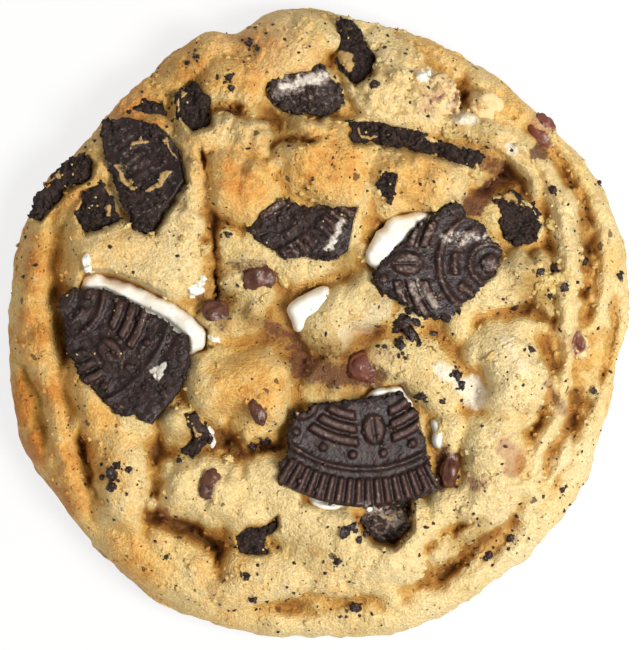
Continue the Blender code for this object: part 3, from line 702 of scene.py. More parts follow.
def new_material(name):
    """A material with an empty Principled shader, and its tree."""
    made = bpy.data.materials.new(name)
    made.use_nodes = True
    tree = made.node_tree
    tree.nodes.clear()
    shader = add(tree, "ShaderNodeBsdfPrincipled")
    out = add(tree, "ShaderNodeOutputMaterial")
    tree.links.new(shader.outputs[0], out.inputs["Surface"])
    return made, tree, shader


def grain_group():
    """The grain of baked dough and broken wafer: crumbly bumps, and a mottling of light and dark."""
    group = bpy.data.node_groups.new("baked_grain", "ShaderNodeTree")
    for name, kind in (("Place", "NodeSocketVector"), ("Size", "NodeSocketFloat")):
        group.interface.new_socket(name, in_out="INPUT", socket_type=kind)
    for name in ("Height", "Mottle"):
        group.interface.new_socket(name, in_out="OUTPUT", socket_type="NodeSocketFloat")
    start = add(group, "NodeGroupInput")
    scale = sums(group, "DIVIDE", 1.0, start.outputs["Size"])
    coarse = cloudy(group, start.outputs["Place"], scale, 5.0, 0.62)
    pits = add(group, "ShaderNodeTexVoronoi",
               {"Vector": start.outputs["Place"], "Scale": sums(group, "MULTIPLY", scale, 1.7)},
               feature="SMOOTH_F1")
    height = sums(group, "ADD", coarse.outputs["Fac"],
                  sums(group, "MULTIPLY", pits.outputs["Distance"], 0.5))
    broad = cloudy(group, start.outputs["Place"], sums(group, "MULTIPLY", scale, 0.28), 6.0)
    add(group, "NodeGroupOutput", {"Height": height, "Mottle": broad.outputs["Fac"]})
    return group


baked_grain = grain_group()


def dough_material():
    """Pale buttery crust that browns from golden to orange, with painted shade in its creases, a painted
    highlight on its crests, and cocoa dust.
    """
    made, tree, shader = new_material("baked_dough")
    place = add(tree, "ShaderNodeTexCoord").outputs["Object"]
    grain = add(tree, "ShaderNodeGroup", {}, node_tree=baked_grain)
    tree.links.new(place, grain.inputs["Place"])
    grain.inputs["Size"].default_value = 0.00055
    mottle = ramped(tree, grain.outputs["Mottle"], 0.3, 0.7)
    # The stored hollowness: painted shade in the hollows, painted highlight on the crests.
    shade_and_highlight_depth = stored(tree, "hollow")
    # The crests: they brown a little more, and get a painted highlight.
    crest = ramped(tree, shade_and_highlight_depth, 0.0, -0.5)
    browned = sums(tree, "ADD", stored(tree, "browned"), sums(tree, "MULTIPLY", crest, 0.12))
    uneven = sums(tree, "MULTIPLY", sums(tree, "SUBTRACT", grain.outputs["Mottle"], 0.5), 0.9)
    browned = sums(tree, "ADD", browned, uneven)
    colour = mixed(tree, mottle, rgb(234, 202, 130), rgb(250, 226, 160))
    # Painted highlight: the crests are coloured paler.
    colour = mixed(tree, ramped(tree, crest, 0.15, 0.9, 0.0, 0.5), colour, rgb(255, 236, 184))
    colour = mixed(tree, ramped(tree, browned, 0.05, 0.55), colour, rgb(246, 198, 114))
    colour = mixed(tree, ramped(tree, browned, 0.42, 1.0), colour, rgb(220, 144, 56))
    colour = mixed(tree, sums(tree, "MULTIPLY", stored(tree, "pale"), 0.75), colour, rgb(252, 236, 190))
    # Painted shade: the deeper a hollow lies, the deeper gold and then brown it is coloured.
    low = sums(tree, "ADD", shade_and_highlight_depth, sums(tree, "MULTIPLY", uneven, 0.35))
    colour = mixed(tree, ramped(tree, low, -0.05, 0.36, 0.0, 0.8), colour, rgb(212, 160, 72))
    colour = mixed(tree, ramped(tree, low, 0.42, 1.0, 0.0, 0.85), colour, rgb(180, 124, 52))
    colour = mixed(tree, ramped(tree, low, 1.0, 1.7, 0.0, 0.85), colour, rgb(112, 68, 30))
    # Darker patches: partly butter stain, partly painted shade.
    soaked = sums(tree, "ADD", stored(tree, "soaked"), sums(tree, "MULTIPLY", uneven, 0.7))
    colour = mixed(tree, ramped(tree, soaked, 0.05, 0.9, 0.0, 0.85), colour, rgb(186, 164, 112),
                   "MULTIPLY")
    # The fine grain's tone, partly painted shade: the colour is darker in the grain's pits and lighter on
    # its tops.
    crumb = ramped(tree, grain.outputs["Height"], 0.5, 0.95)
    colour = mixed(tree, 0.5, colour, mixed(tree, crumb, rgb(196, 172, 130), rgb(255, 255, 252)),
                   "MULTIPLY")
    flecks = speckle(tree, place, 0.0016, 0.07, 0.031)
    dust = speckle(tree, place, 0.0007, 0.08, 0.057)
    colour = mixed(tree, sums(tree, "MULTIPLY", flecks, 0.8), colour, rgb(84, 52, 30))
    colour = mixed(tree, sums(tree, "MULTIPLY", dust, 0.7), colour, rgb(66, 42, 30))
    blush = sums(tree, "ADD", stored(tree, "rosy"), sums(tree, "MULTIPLY", uneven, 0.6))
    colour = mixed(tree, ramped(tree, blush, 0.3, 1.1, 0.0, 0.6), colour, rgb(172, 104, 84))
    ragged = sums(tree, "ADD", stored(tree, "smeared"),
                  sums(tree, "MULTIPLY", sums(tree, "SUBTRACT", grain.outputs["Height"], 0.75), 0.9))
    colour = mixed(tree, ramped(tree, ragged, 0.35, 0.85, 0.0, 0.9), colour, rgb(104, 60, 40))
    colour = mixed(tree, ramped(tree, stored(tree, "milky"), 0.2, 0.8, 0.0, 0.85), colour,
                   rgb(248, 240, 220))
    tree.links.new(colour, shader.inputs["Base Color"])
    tree.links.new(ramped(tree, grain.outputs["Mottle"], 0.3, 0.7, 0.5, 0.72), shader.inputs["Roughness"])
    shader.inputs["Subsurface Weight"].default_value = 0.12
    shader.inputs["Subsurface Radius"].default_value = (1.0, 0.55, 0.25)
    shader.inputs["Subsurface Scale"].default_value = 0.0008
    shader.inputs["Specular IOR Level"].default_value = 0.35
    fine = cloudy(tree, place, 4200.0, 3.0)
    relief_here = sums(tree, "ADD", grain.outputs["Height"],
                       sums(tree, "MULTIPLY", fine.outputs["Fac"], 0.4))
    bumped(tree, shader, relief_here, 0.8, 0.0005)
    return made


baked_dough = dough_material()
crust.data.materials.append(baked_dough)
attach(crust, "root")
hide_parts("dough")

# ---------------------------------------------------------------------------
# The wafers: dark cocoa biscuits, moulded with a ridged rim and a low relief,
# snapped into pieces before baking. Their broken sides are porous and crumbly.
# ---------------------------------------------------------------------------

WAFER_RADIUS = 23.0
RIM_RIDGES = 96
WAFER_GRID = 0.23  # between the points across a wafer's face

# Where the middle of the whole round wafer would be, how far its relief is turned, and how
# strong its rim ridges are.
MOULDS = {
    "wafer_front": ((6.2, -3.4), 0.10, 1.0),
    "wafer_left": ((-38.6, 4.6), 0.35, 0.15),
    "wafer_right": ((24.4, 8.6), 0.0, 1.0),
    "wafer_middle": ((-14.0, 28.0), 0.0, 1.0),
    "wafer_upper_left": ((-44.0, 12.0), 0.5, 0.3),
}
# How crumbly each face is, and how much creme or dough dust clings to it. The rest are plain broken crumb.
WORN = {
    "wafer_front": (0.10, 0.06), "wafer_left": (0.22, 0.12),
    "wafer_right": (0.12, 0.30), "wafer_middle": (0.35, 0.30),
    "wafer_upper_left": (0.45, 0.38), "wafer_top": (0.40, 0.50), "wafer_front_lower": (0.8, 0.55),
}
USUAL_WEAR = (0.9, 0.22)
# Where dough was smeared over a piece before baking: half width, strength, line.
CRUSTED = (
    (0.6, 0.8, (-29, 22.5), (-27.0, 20.0)), (0.5, 0.8, (-24.5, 18.5), (-21.9, 21.6)),
    (0.6, 0.75, (-27.5, 25.5), (-25.5, 26.4)), (0.4, 0.75, (-22.5, 26.4), (-21.4, 24.5)),
    (0.9, 0.95, (3.4, 38.4), (4.2, 37.6)), (0.5, 0.8, (26.6, 18.6), (28.0, 17.6)),
    (0.5, 0.85, (24.0, 15.6), (25.2, 15.2)), (0.4, 0.8, (-30.4, 16.9), (-31, 15.8)),
    (0.4, 0.7, (-18.0, -15.4), (-18.4, -13.8)), (0.3, 0.75, (5.0, 27.4), (8.2, 26.4)),
    (0.35, 0.75, (14.6, 24.8), (16.6, 24.2)), (0.3, 0.75, (-10.8, -28.8), (-8.8, -29.2)),
    (0.3, 0.75, (-39.2, 19.6), (-37.6, 21.2)), (0.5, 0.6, (9.0, -27.8), (11.8, -27.0)),
)
# Where creme or sugar left a pale film.
POWDERED = (
    (1.3, 0.8, (-4.6, 34.4), (0.4, 35.6)), (0.7, 0.8, (3.0, 14.6), (2.2, 12.4), (1.5, 10.5)),
    (1.1, 1.0, (-24.0, -6.8), (-23.0, -6.2)), (1.2, 0.6, (17.5, 12.5), (23.5, 12.5)),
    (0.8, 0.5, (12.5, 6.5), (16.5, 2.5)), (1.2, 0.55, (6.5, -26.0), (12.5, -28.5)),
    (0.9, 0.5, (-6.5, 33.0), (-3.0, 33.6)),
)


def eased(value):
    """0 below 0, 1 above 1, smooth between."""
    value = np.clip(value, 0, 1)
    return value * value * (3 - 2 * value)


def ridge(away):
    """A rounded ridge, 1 at its crest and gone about 1.5 away."""
    return np.exp(-1.2 * away**2)


def relief(x, y, centre, turn, ridged):
    """The relief of a whole wafer: ridged rim, line, studs, leaves and curved bars, rings, a boss."""
    out = np.hypot(x - centre[0], y - centre[1])
    angle = np.arctan2(y - centre[1], x - centre[0]) + turn
    band = eased((out - WAFER_RADIUS + 4.3) / 0.6) * eased((WAFER_RADIUS - 0.1 - out) / 0.5)
    teeth = (0.5 + 0.5 * np.cos(RIM_RIDGES * angle)) ** 0.8
    high = 0.10 * band + ridged * 0.50 * band * teeth
    high = high + 0.30 * ridge((out - WAFER_RADIUS + 5.5) / 0.42)
    studs = 2 * np.pi / 22
    along = ((angle % studs) - studs / 2) * out
    high = high + 0.42 * eased(1.7 - 1.7 * np.hypot(along, out - WAFER_RADIUS + 7.5) / 0.75)
    leaves = 2 * np.pi / 7
    along = np.abs((angle % leaves) - leaves / 2) * out
    leaf = np.hypot(along / 1.9, (out - 11.9) / 2.5)
    high = high + 0.50 * eased((1 - leaf) / 0.4) - 0.30 * ridge(along / 0.3) * eased((0.9 - leaf) / 0.3)
    bar = np.abs((out - 9.0) % 1.85 - 0.92)
    high = high + (0.52 * eased((0.80 - bar) / 0.5) * eased((along - 2.3) / 0.4)
                   * eased((2.8 - np.abs(out - 11.8)) / 0.2))
    high = high + 0.40 * ridge((out - 7.4) / 0.5) + 0.36 * ridge((out - 2.9) / 0.5)
    dashes = 2 * np.pi / 7
    along = np.abs((angle % dashes) - dashes / 2) * out
    high = high + 0.42 * ridge((out - 5.2) / 0.6) * eased((1.75 - along) / 0.3)
    return high + 0.45 * eased(2.2 - 2.2 * out / 1.6)


def broken_outline(corners, centre, seed):
    """Points round a broken piece at even steps: jagged where it snapped, clean along its rim."""
    ring = corners[:, :2]
    after = np.roll(ring, -1, axis=0)
    points = []
    for start, end in zip(ring, after):
        steps = max(1, round(float(np.hypot(*(end - start))) / WAFER_GRID))
        points += [start + (end - start) * k / steps for k in range(steps)]
    points = np.array(points)
    along = np.roll(points, -1, axis=0) - np.roll(points, 1, axis=0)
    outward = np.stack([along[:, 1], -along[:, 0]], axis=1)
    outward /= np.linalg.norm(outward, axis=1, keepdims=True)
    x, y = points.T
    jag = (0.34 * noise(x, y, 1.9, seed) + 0.24 * noise(x, y, 0.85, seed + 1)
           + 0.12 * noise(x, y, 0.4, seed + 2))
    clean = np.zeros(len(points))
    if centre is not None:
        clean = eased((np.hypot(x - centre[0], y - centre[1]) - WAFER_RADIUS + 0.9) / 0.6)
    return points + outward * (jag * (1 - 0.93 * clean) - 0.05)[:, None]


def filled(ring, spacing, keep_clear):
    """The ring, with points spread evenly inside it, and triangles over them all."""
    low = ring.min(axis=0)
    high = ring.max(axis=0)
    columns = np.arange(low[0], high[0], spacing)
    rows = np.arange(low[1], high[1], spacing * 0.866)
    x, y = np.meshgrid(columns, rows)
    x = x + spacing * 0.5 * (np.arange(len(rows))[:, None] % 2)
    x = x + spacing * 0.12 * noise(x, y, spacing, 7)
    y = y + spacing * 0.12 * noise(x, y, spacing, 8)
    keep_these = outside_of(x, y, ring) < -keep_clear
    points = np.vstack([ring, np.column_stack([x[keep_these], y[keep_these]])])
    edges = [(k, (k + 1) % len(ring)) for k in range(len(ring))]
    made = delaunay_2d_cdt([tuple(p) for p in points.tolist()], edges, [], 1, 1e-6)
    flat = np.array([tuple(v) for v in made[0]])
    came_from = [source[0] if source else -1 for source in made[3]]
    order = {source: k for k, source in enumerate(came_from)}
    edge = np.array([order[k] for k in range(len(ring)) if k in order])
    return flat, np.array([tuple(f) for f in made[2]]), edge


def fixed(plane, x, y):
    """Height of a plane z = a x + b y + c over each (x, y)."""
    return plane[0] * x + plane[1] * y + plane[2]


def wafer_piece(name, seed):
    """One broken piece: its face, its crumbly side in rows, and its underside."""
    corners, upper = flat_face(name, True)
    below, lower = flat_face(name, False)
    slide = below[:, :2].mean(axis=0) - corners[:, :2].mean(axis=0)
    centre, turn, ridged = MOULDS.get(name, (None, 0, 0))
    crumbly, dusted = WORN.get(name, USUAL_WEAR)
    ring = broken_outline(corners, centre, seed)
    flat, faces, edge = filled(ring, WAFER_GRID, 0.6 * WAFER_GRID)
    x, y = flat.T
    inner = -outside_of(x, y, ring)
    clean = np.zeros(len(flat))
    raised = np.zeros(len(flat))
    if centre is not None:
        clean = eased((np.hypot(x - centre[0], y - centre[1]) - WAFER_RADIUS + 0.9) / 0.6)
        raised = relief(x, y, centre, turn, ridged)
    rough = (0.5 * noise(x, y, 2.2, seed + 3) + 0.9 * np.abs(noise(x, y, 1.1, seed + 4))
             + 0.6 * np.abs(noise(x, y, 0.55, seed + 5)) - 0.6)
    loose = np.clip(crumbly + 0.6 * noise(x, y, 3.1, seed + 6) * min(1, 2 * crumbly), 0, 1)
    chipped = (1 - clean) * eased(1 - inner / 0.9) * (0.35 + 0.5 * noise(x, y, 0.9, seed + 7))
    worn_relief = 1.8 * raised * (1 - 0.9 * loose)
    top = fixed(upper, x, y) - 0.62 + worn_relief + 0.95 * loose * rough - np.clip(chipped, 0, 1) * 0.9
    top = (top + 0.06 * noise(x, y, 0.9, seed + 8) + 0.05 * noise(x, y, 0.5, seed + 12)
           + 0.5 * streaks(x, y, CRUSTED))
    points = [np.column_stack([x, y, top])]
    shapes = [faces.tolist()]
    # The relief's height, which the wafer's material uses for a painted highlight and a painted glint.
    raised_for_highlight = [worn_relief / 1.1]
    broken_here = [np.maximum(loose, np.clip(chipped * 1.6, 0, 1))]
    above = edge
    rows = 7
    first = len(flat)
    outer = flat[edge]
    side_clean = clean[edge]
    for row in range(1, rows + 1):
        down = row / rows
        level = (1 - down) * top[edge] + down * fixed(lower, *outer.T)
        pits = 0.26 * noise(outer[:, 0] * 1.3 + level, outer[:, 1] * 1.3, 0.6, seed + 9)
        pits = pits + 0.16 * noise(outer[:, 0] + level * 2, outer[:, 1], 0.3, seed + 10)
        out = outer - flat.mean(axis=0)
        out = out / np.maximum(np.linalg.norm(out, axis=1, keepdims=True), 1e-6)
        ringed = outer + slide * down + out * (pits * (1 - 0.85 * side_clean) - 0.12 * down)[:, None]
        points.append(np.column_stack([ringed, level]))
        index = first + np.arange(len(edge))
        shapes.append(np.stack([above, index, np.roll(index, -1), np.roll(above, -1)], axis=-1).tolist())
        raised_for_highlight.append(np.zeros(len(edge)))
        broken_here.append(1 - 0.8 * side_clean)
        above = index
        first += len(edge)
    mesh_faces = [face for part in shapes for face in part] + [above[::-1].tolist()]
    piece = shell(name + "_piece", np.vstack(points), mesh_faces)
    keep(piece, "sown", np.concatenate(broken_here))
    keep(piece, "raised", np.concatenate(raised_for_highlight))
    keep(piece, "broken", np.concatenate(broken_here))
    keep(piece, "dusted", np.full(sum(len(p) for p in points), dusted))
    keep(piece, "crusted", streaks(*np.vstack(points)[:, :2].T, CRUSTED))
    keep(piece, "powdered", streaks(*np.vstack(points)[:, :2].T, POWDERED))
    return piece


def wafer_material():
    """Nearly black cocoa biscuit: a pale bloom on the moulded face, a painted highlight on its raised
    relief and a painted glint on its crests, matt and porous where broken.
    """
    made, tree, shader = new_material("cocoa_wafer")
    place = add(tree, "ShaderNodeTexCoord").outputs["Object"]
    grain = add(tree, "ShaderNodeGroup", {}, node_tree=baked_grain)
    tree.links.new(place, grain.inputs["Place"])
    grain.inputs["Size"].default_value = 0.0005
    raised = stored(tree, "raised")
    broken = stored(tree, "broken")
    colour = mixed(tree, ramped(tree, grain.outputs["Mottle"], 0.35, 0.65), rgb(34, 19, 16),
                   rgb(52, 32, 27))
    # Painted highlight: the raised relief is coloured lighter than the hollows between it.
    colour = mixed(tree, ramped(tree, raised, 0.2, 0.9, 0.0, 0.85), colour, rgb(80, 54, 47))
    porous = ramped(tree, grain.outputs["Height"], 0.55, 0.95)
    crumb = mixed(tree, porous, rgb(18, 11, 9), rgb(74, 53, 45))
    colour = mixed(tree, ramped(tree, broken, 0.25, 0.8), colour, crumb)
    cloud = cloudy(tree, place, 1400.0, 7.0, 0.7)
    patchy = sums(tree, "ADD", sums(tree, "MULTIPLY", cloud.outputs["Fac"], 0.7), 0.13)
    bloom_and_glint = sums(tree, "ADD", patchy, sums(tree, "MULTIPLY", stored(tree, "dusted"), 0.3))
    # Painted glint: the raised crests are pushed towards the grey of the bloom.
    bloom_and_glint = sums(tree, "ADD", bloom_and_glint, sums(tree, "MULTIPLY", raised, 0.13))
    bloom_and_glint = sums(tree, "ADD", bloom_and_glint, sums(tree, "MULTIPLY", stored(tree, "powdered"), 0.2))
    colour = mixed(tree, ramped(tree, bloom_and_glint, 0.64, 0.80, 0.0, 0.7), colour, rgb(190, 172, 158))
    creme_left = sums(tree, "ADD", stored(tree, "powdered"),
                      sums(tree, "MULTIPLY", cloud.outputs["Fac"], 1.2))
    colour = mixed(tree, ramped(tree, creme_left, 1.15, 1.45, 0.0, 0.85), colour, rgb(236, 228, 214))
    grit = speckle(tree, place, 0.0008, 0.12, 0.041)
    colour = mixed(tree, sums(tree, "MULTIPLY", grit, 0.35), colour, rgb(170, 136, 98))
    crust_here = sums(tree, "ADD", stored(tree, "crusted"),
                      sums(tree, "MULTIPLY", sums(tree, "SUBTRACT", grain.outputs["Height"], 0.75), 0.8))
    colour = mixed(tree, ramped(tree, crust_here, 0.35, 0.7, 0.0, 0.9), colour, rgb(206, 168, 106))
    tree.links.new(colour, shader.inputs["Base Color"])
    tree.links.new(ramped(tree, broken, 0.1, 0.8, 0.34, 0.9), shader.inputs["Roughness"])
    shader.inputs["Specular IOR Level"].default_value = 0.45
    fine = cloudy(tree, place, 5200.0, 3.0)
    height = sums(tree, "ADD", grain.outputs["Height"], sums(tree, "MULTIPLY", fine.outputs["Fac"], 0.4))
    strength = ramped(tree, broken, 0.1, 0.8, 0.5, 1.0)
    bumped(tree, shader, sums(tree, "MULTIPLY", height, strength), 0.9, 0.0003)
    return made


cocoa_wafer = wafer_material()
for seed, name in enumerate(name for name in sorted(frame["nodes"]) if name.startswith("wafer_")):
    piece = wafer_piece(name, 100 + 20 * seed)
    piece.data.materials.append(cocoa_wafer)
    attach(piece, "root")
    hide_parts(name)

# ---------------------------------------------------------------------------
# The creme: the white filling of the broken sandwiches. A layer runs on under
# each large wafer and bulges out past it, softened by the oven.
# ---------------------------------------------------------------------------

CREME_GRID = 0.28
CREME_EDGE = 1.3  # how far in from its outline the creme is rounded over


def softened(corners, pulls=3):
    """An outline with its corners rounded away."""
    ring = corners[:, :2]
    for _ in range(pulls):
        after = np.roll(ring, -1, axis=0)
        ring = np.stack([0.75 * ring + 0.25 * after, 0.25 * ring + 0.75 * after], axis=1).reshape(-1, 2)
    return ring


def creme_slab(name, corners, lower, thick_at, seed):
    """A slab of creme on a plane, rounded at its rim: thick_at gives its thickness at each (x, y)."""
    ring = broken_outline(np.column_stack([softened(corners), np.zeros(8 * len(corners))]), None, seed)
    for _ in range(3):
        ring = 0.25 * (np.roll(ring, 1, axis=0) + np.roll(ring, -1, axis=0)) + 0.5 * ring
    flat, faces, edge = filled(ring, CREME_GRID, 0.6 * CREME_GRID)
    x, y = flat.T
    inner = np.clip(-outside_of(x, y, ring) / CREME_EDGE, 0, 1)
    swell = np.sqrt(np.clip(1 - (1 - inner) ** 2, 0, 1))
    wavy = (0.30 * noise(x, y, 2.6, seed + 3) + 0.10 * noise(x, y, 0.9, seed + 4)
            + 0.03 * noise(x, y, 0.4, seed + 5))
    top = fixed(lower, x, y) + thick_at(x, y) * (0.25 + 0.75 * swell) + wavy * swell
    outer = flat[edge]
    base = np.column_stack([outer, fixed(lower, *outer.T)])
    index = len(flat) + np.arange(len(edge))
    side = np.stack([edge, index, np.roll(index, -1), np.roll(edge, -1)], axis=-1).tolist()
    points = np.vstack([np.column_stack([x, y, top]), base])
    return shell(name, points, faces.tolist() + side + [index[::-1].tolist()])


def creme_layer(name, wafer, seed):
    """A layer of creme under a wafer, pushed up where it is squeezed out past it."""
    corners, upper = flat_face(name, True)
    _, lower = flat_face(name, False)
    cover, _ = flat_face(wafer, True)

    def thick_at(x, y):
        return fixed(upper, x, y) + 1.5 * eased(outside_of(x, y, cover) / 0.7) - fixed(lower, x, y)

    return creme_slab(name + "_layer", corners, lower, thick_at, seed)


def creme_chip(name, outline, stand, seed):
    """A loose piece of creme, half sunk in the dough."""
    corners = np.array(outline, float)
    level = float(dough_height(*corners.mean(axis=0)))
    return creme_slab(name + "_lump", corners, (0, 0, level - 1.4),
                      lambda x, y: 1.4 + stand + 0 * x, seed)


def creme_material():
    """White vanilla creme, a little yellow and translucent, with cocoa dust caught in it."""
    made, tree, shader = new_material("vanilla_creme")
    place = add(tree, "ShaderNodeTexCoord").outputs["Object"]
    cloud = cloudy(tree, place, 420.0, 4.0)
    colour = mixed(tree, ramped(tree, cloud.outputs["Fac"], 0.35, 0.65), rgb(244, 237, 220),
                   rgb(254, 251, 242))
    dust = speckle(tree, place, 0.0008, 0.07, 0.029)
    colour = mixed(tree, sums(tree, "MULTIPLY", dust, 0.75), colour, rgb(96, 74, 60))
    tree.links.new(colour, shader.inputs["Base Color"])
    tree.links.new(ramped(tree, cloud.outputs["Fac"], 0.3, 0.7, 0.42, 0.6), shader.inputs["Roughness"])
    shader.inputs["Subsurface Weight"].default_value = 0.3
    shader.inputs["Subsurface Radius"].default_value = (1.0, 0.8, 0.6)
    shader.inputs["Subsurface Scale"].default_value = 0.0015
    fine = cloudy(tree, place, 1500.0, 4.0)
    bumped(tree, shader, fine.outputs["Fac"], 0.35, 0.0002)
    return made


vanilla_creme = creme_material()
creme_pieces = {f"creme_{side}": creme_layer(f"creme_{side}", f"wafer_{side}", 600 + 20 * k)
                for k, side in enumerate(("front", "left", "right"))}
creme_pieces["creme_middle"] = creme_chip(
    "creme_middle",
    [(-5.2, 3.0), (-2.2, 4.0), (1.2, 5.7), (1.7, 3.8), (0.4, 1.6), (-1.0, 0.0), (-3.4, -1.6),
     (-4.2, 0.4)], 1.3, 700)
creme_pieces["creme_corner"] = creme_chip(
    "creme_corner", [(15.7, -13.5), (18.2, -14.0), (17.9, -16.4), (16.9, -18.6), (16.1, -16.4)], 1.0, 740)
for name, piece in creme_pieces.items():
    piece.data.materials.append(vanilla_creme)
    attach(piece, "root")
    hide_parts(name)

# ---------------------------------------------------------------------------
# The chocolate chips: milk chocolate drops that slumped in the oven, each with
# a thin film of dough baked over part of it.
# ---------------------------------------------------------------------------

CHIP_UNEVEN = 0.24
# How much of each chip the dough film covers. The rest are bare.
FILMED = {"chip_top": 0.50, "chip_top_right": 0.58, "chip_rim": 0.30, "chip_right": 0.42,
          "chip_lower": 0.3}
# Chips that lie deeper than the rest, in millimetres.
DEEPER = {"chip_rim": 2.3, "chip_right": 0.8, "chip_top": 0.6, "chip_top_right": 0.5}
# Chips stained red by the fat that came out of them.
REDDENED = {"chip_rim": 0.5, "chip_top": 0.35, "chip_top_right": 0.2, "chip_right": 0.3,
            "chip_melted": 0.3}


def slumped_chip(name, seed, sunk):
    """A chip where its CAD node is: a ball stretched to the node's axes, uneven, flattened, sunk."""
    corners, _ = faces_of(name)
    centre = (corners.max(axis=0) + corners.min(axis=0)) / 2
    spread = np.cov((corners - centre).T) * 3
    lengths, axes = np.linalg.eigh(spread)
    stretch = np.diag((1.05, 1.05, 0.8)) @ axes @ np.diag(np.sqrt(lengths)) @ axes.T
    ball = bmesh.new()
    bmesh.ops.create_icosphere(ball, subdivisions=4, radius=1)
    unit = np.array([v.co for v in ball.verts])
    faces = np.array([[v.index for v in f.verts] for f in ball.faces])
    ball.free()
    x, y, z = unit.T
    swell = noise(x + 2 * z, y - z, 0.9, seed) + 0.5 * noise(x - z, y + 2 * z, 0.45, seed + 1)
    swell = swell + 0.3 * noise(x + z, y + 2 * z, 0.22, seed + 2)
    unit = unit * (1 + CHIP_UNEVEN * swell)[:, None]
    return shell(name + "_lump", centre - (0, 0, sunk) + unit @ stretch.T, faces)


def chip_material():
    """Milk chocolate with a soft sheen, paler where fat has bloomed, under a ragged film of pale dough."""
    made, tree, shader = new_material("milk_chocolate")
    place = add(tree, "ShaderNodeTexCoord").outputs["Object"]
    cloud = cloudy(tree, place, 700.0, 5.0)
    colour = mixed(tree, ramped(tree, cloud.outputs["Fac"], 0.35, 0.65), rgb(74, 40, 27),
                   rgb(108, 66, 48))
    ragged = cloudy(tree, place, 480.0, 6.0, 0.65)
    colour = mixed(tree, stored(tree, "reddened"), colour, rgb(140, 74, 60))
    film = sums(tree, "ADD", ragged.outputs["Fac"], stored(tree, "filmed"))
    colour = mixed(tree, ramped(tree, film, 0.80, 0.92, 0.0, 0.7), colour, rgb(158, 112, 84))
    colour = mixed(tree, ramped(tree, film, 0.88, 1.02, 0.0, 0.95), colour, rgb(238, 208, 150))
    tree.links.new(colour, shader.inputs["Base Color"])
    tree.links.new(ramped(tree, film, 0.8, 1.1, 0.32, 0.65), shader.inputs["Roughness"])
    fine = cloudy(tree, place, 1800.0, 4.0)
    bumped(tree, shader, fine.outputs["Fac"], 0.5, 0.0003)
    return made


milk_chocolate = chip_material()
for seed, name in enumerate(name for name in sorted(frame["nodes"]) if name.startswith("chip_")):
    filmed = FILMED.get(name, 0.14)
    piece = slumped_chip(name, 800 + 10 * seed, 0.3 + 0.9 * filmed + DEEPER.get(name, 0))
    keep(piece, "sown", np.full(len(piece.data.vertices), float(filmed > 0.3)))
    keep(piece, "reddened", np.full(len(piece.data.vertices), REDDENED.get(name, 0.0)))
    keep(piece, "filmed", np.full(len(piece.data.vertices), filmed))
    piece.data.materials.append(milk_chocolate)
    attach(piece, "root")
    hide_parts(name)

# ---------------------------------------------------------------------------
# The crumbs: grains of crushed wafer baked into the crust all over, and pale
# grains of the dough itself, with some larger bits of wafer between them.
# ---------------------------------------------------------------------------


def crumb_group():
    """Turns each point it is given into one uneven crumb, turned and stretched at random."""
    group = bpy.data.node_groups.new("crumbs_on_points", "GeometryNodeTree")
    group.interface.new_socket("Points", in_out="INPUT", socket_type="NodeSocketGeometry")
    for name, kind in (("Radius", "NodeSocketFloat"), ("Thickness", "NodeSocketFloat"),
                       ("Seed", "NodeSocketInt"), ("Fineness", "NodeSocketInt")):
        group.interface.new_socket(name, in_out="INPUT", socket_type=kind)
    group.interface.new_socket("Look", in_out="INPUT", socket_type="NodeSocketMaterial")
    group.interface.new_socket("Crumbs", in_out="OUTPUT", socket_type="NodeSocketGeometry")
    start = add(group, "NodeGroupInput")
    ball = add(group, "GeometryNodeMeshIcoSphere",
               {"Radius": 1.0, "Subdivisions": start.outputs["Fineness"]})
    spot = add(group, "GeometryNodeInputPosition").outputs[0]
    lumpy = cloudy(group, spot, 1.5, 3.0, 0.6)
    wide = add(group, "ShaderNodeMapRange", {"Value": lumpy.outputs["Fac"], "From Min": 0.25,
                                             "From Max": 0.75, "To Min": -0.55, "To Max": 0.55})
    push = add(group, "ShaderNodeVectorMath", {0: spot, "Scale": wide.outputs["Result"]},
               operation="SCALE")
    crumb = add(group, "GeometryNodeSetPosition",
                {"Geometry": ball.outputs["Mesh"], "Offset": push.outputs[0]})
    placed = add(group, "GeometryNodeInstanceOnPoints",
                 {"Points": start.outputs["Points"], "Instance": crumb.outputs[0]})
    turn = add(group, "FunctionNodeRandomValue", {"Seed": start.outputs["Seed"]},
               data_type="FLOAT_VECTOR")
    turn.inputs["Max"].default_value = (0.5, 0.5, 6.283)
    group.links.new(turn.outputs["Value"], placed.inputs["Rotation"])
    size = add(group, "FunctionNodeRandomValue", {"Seed": start.outputs["Seed"]},
               data_type="FLOAT_VECTOR")
    size.inputs["Min"].default_value = (0.45, 0.45, 0.45)
    size.inputs["Max"].default_value = (1.3, 1.0, 1.0)
    stretch = add(group, "ShaderNodeCombineXYZ", {"X": 1.0, "Y": 1.0, "Z": start.outputs["Thickness"]})
    shaped = add(group, "ShaderNodeVectorMath", {0: size.outputs["Value"], 1: stretch.outputs[0]},
                 operation="MULTIPLY")
    scale = add(group, "ShaderNodeVectorMath", {0: shaped.outputs[0], "Scale": start.outputs["Radius"]},
                operation="SCALE")
    group.links.new(scale.outputs[0], placed.inputs["Scale"])
    real = add(group, "GeometryNodeRealizeInstances", {"Geometry": placed.outputs[0]})
    smooth = add(group, "GeometryNodeSetShadeSmooth", {"Geometry": real.outputs[0]})
    looks = add(group, "GeometryNodeSetMaterial",
                {"Geometry": smooth.outputs[0], "Material": start.outputs["Look"]})
    add(group, "NodeGroupOutput", {"Crumbs": looks.outputs[0]})
    return group


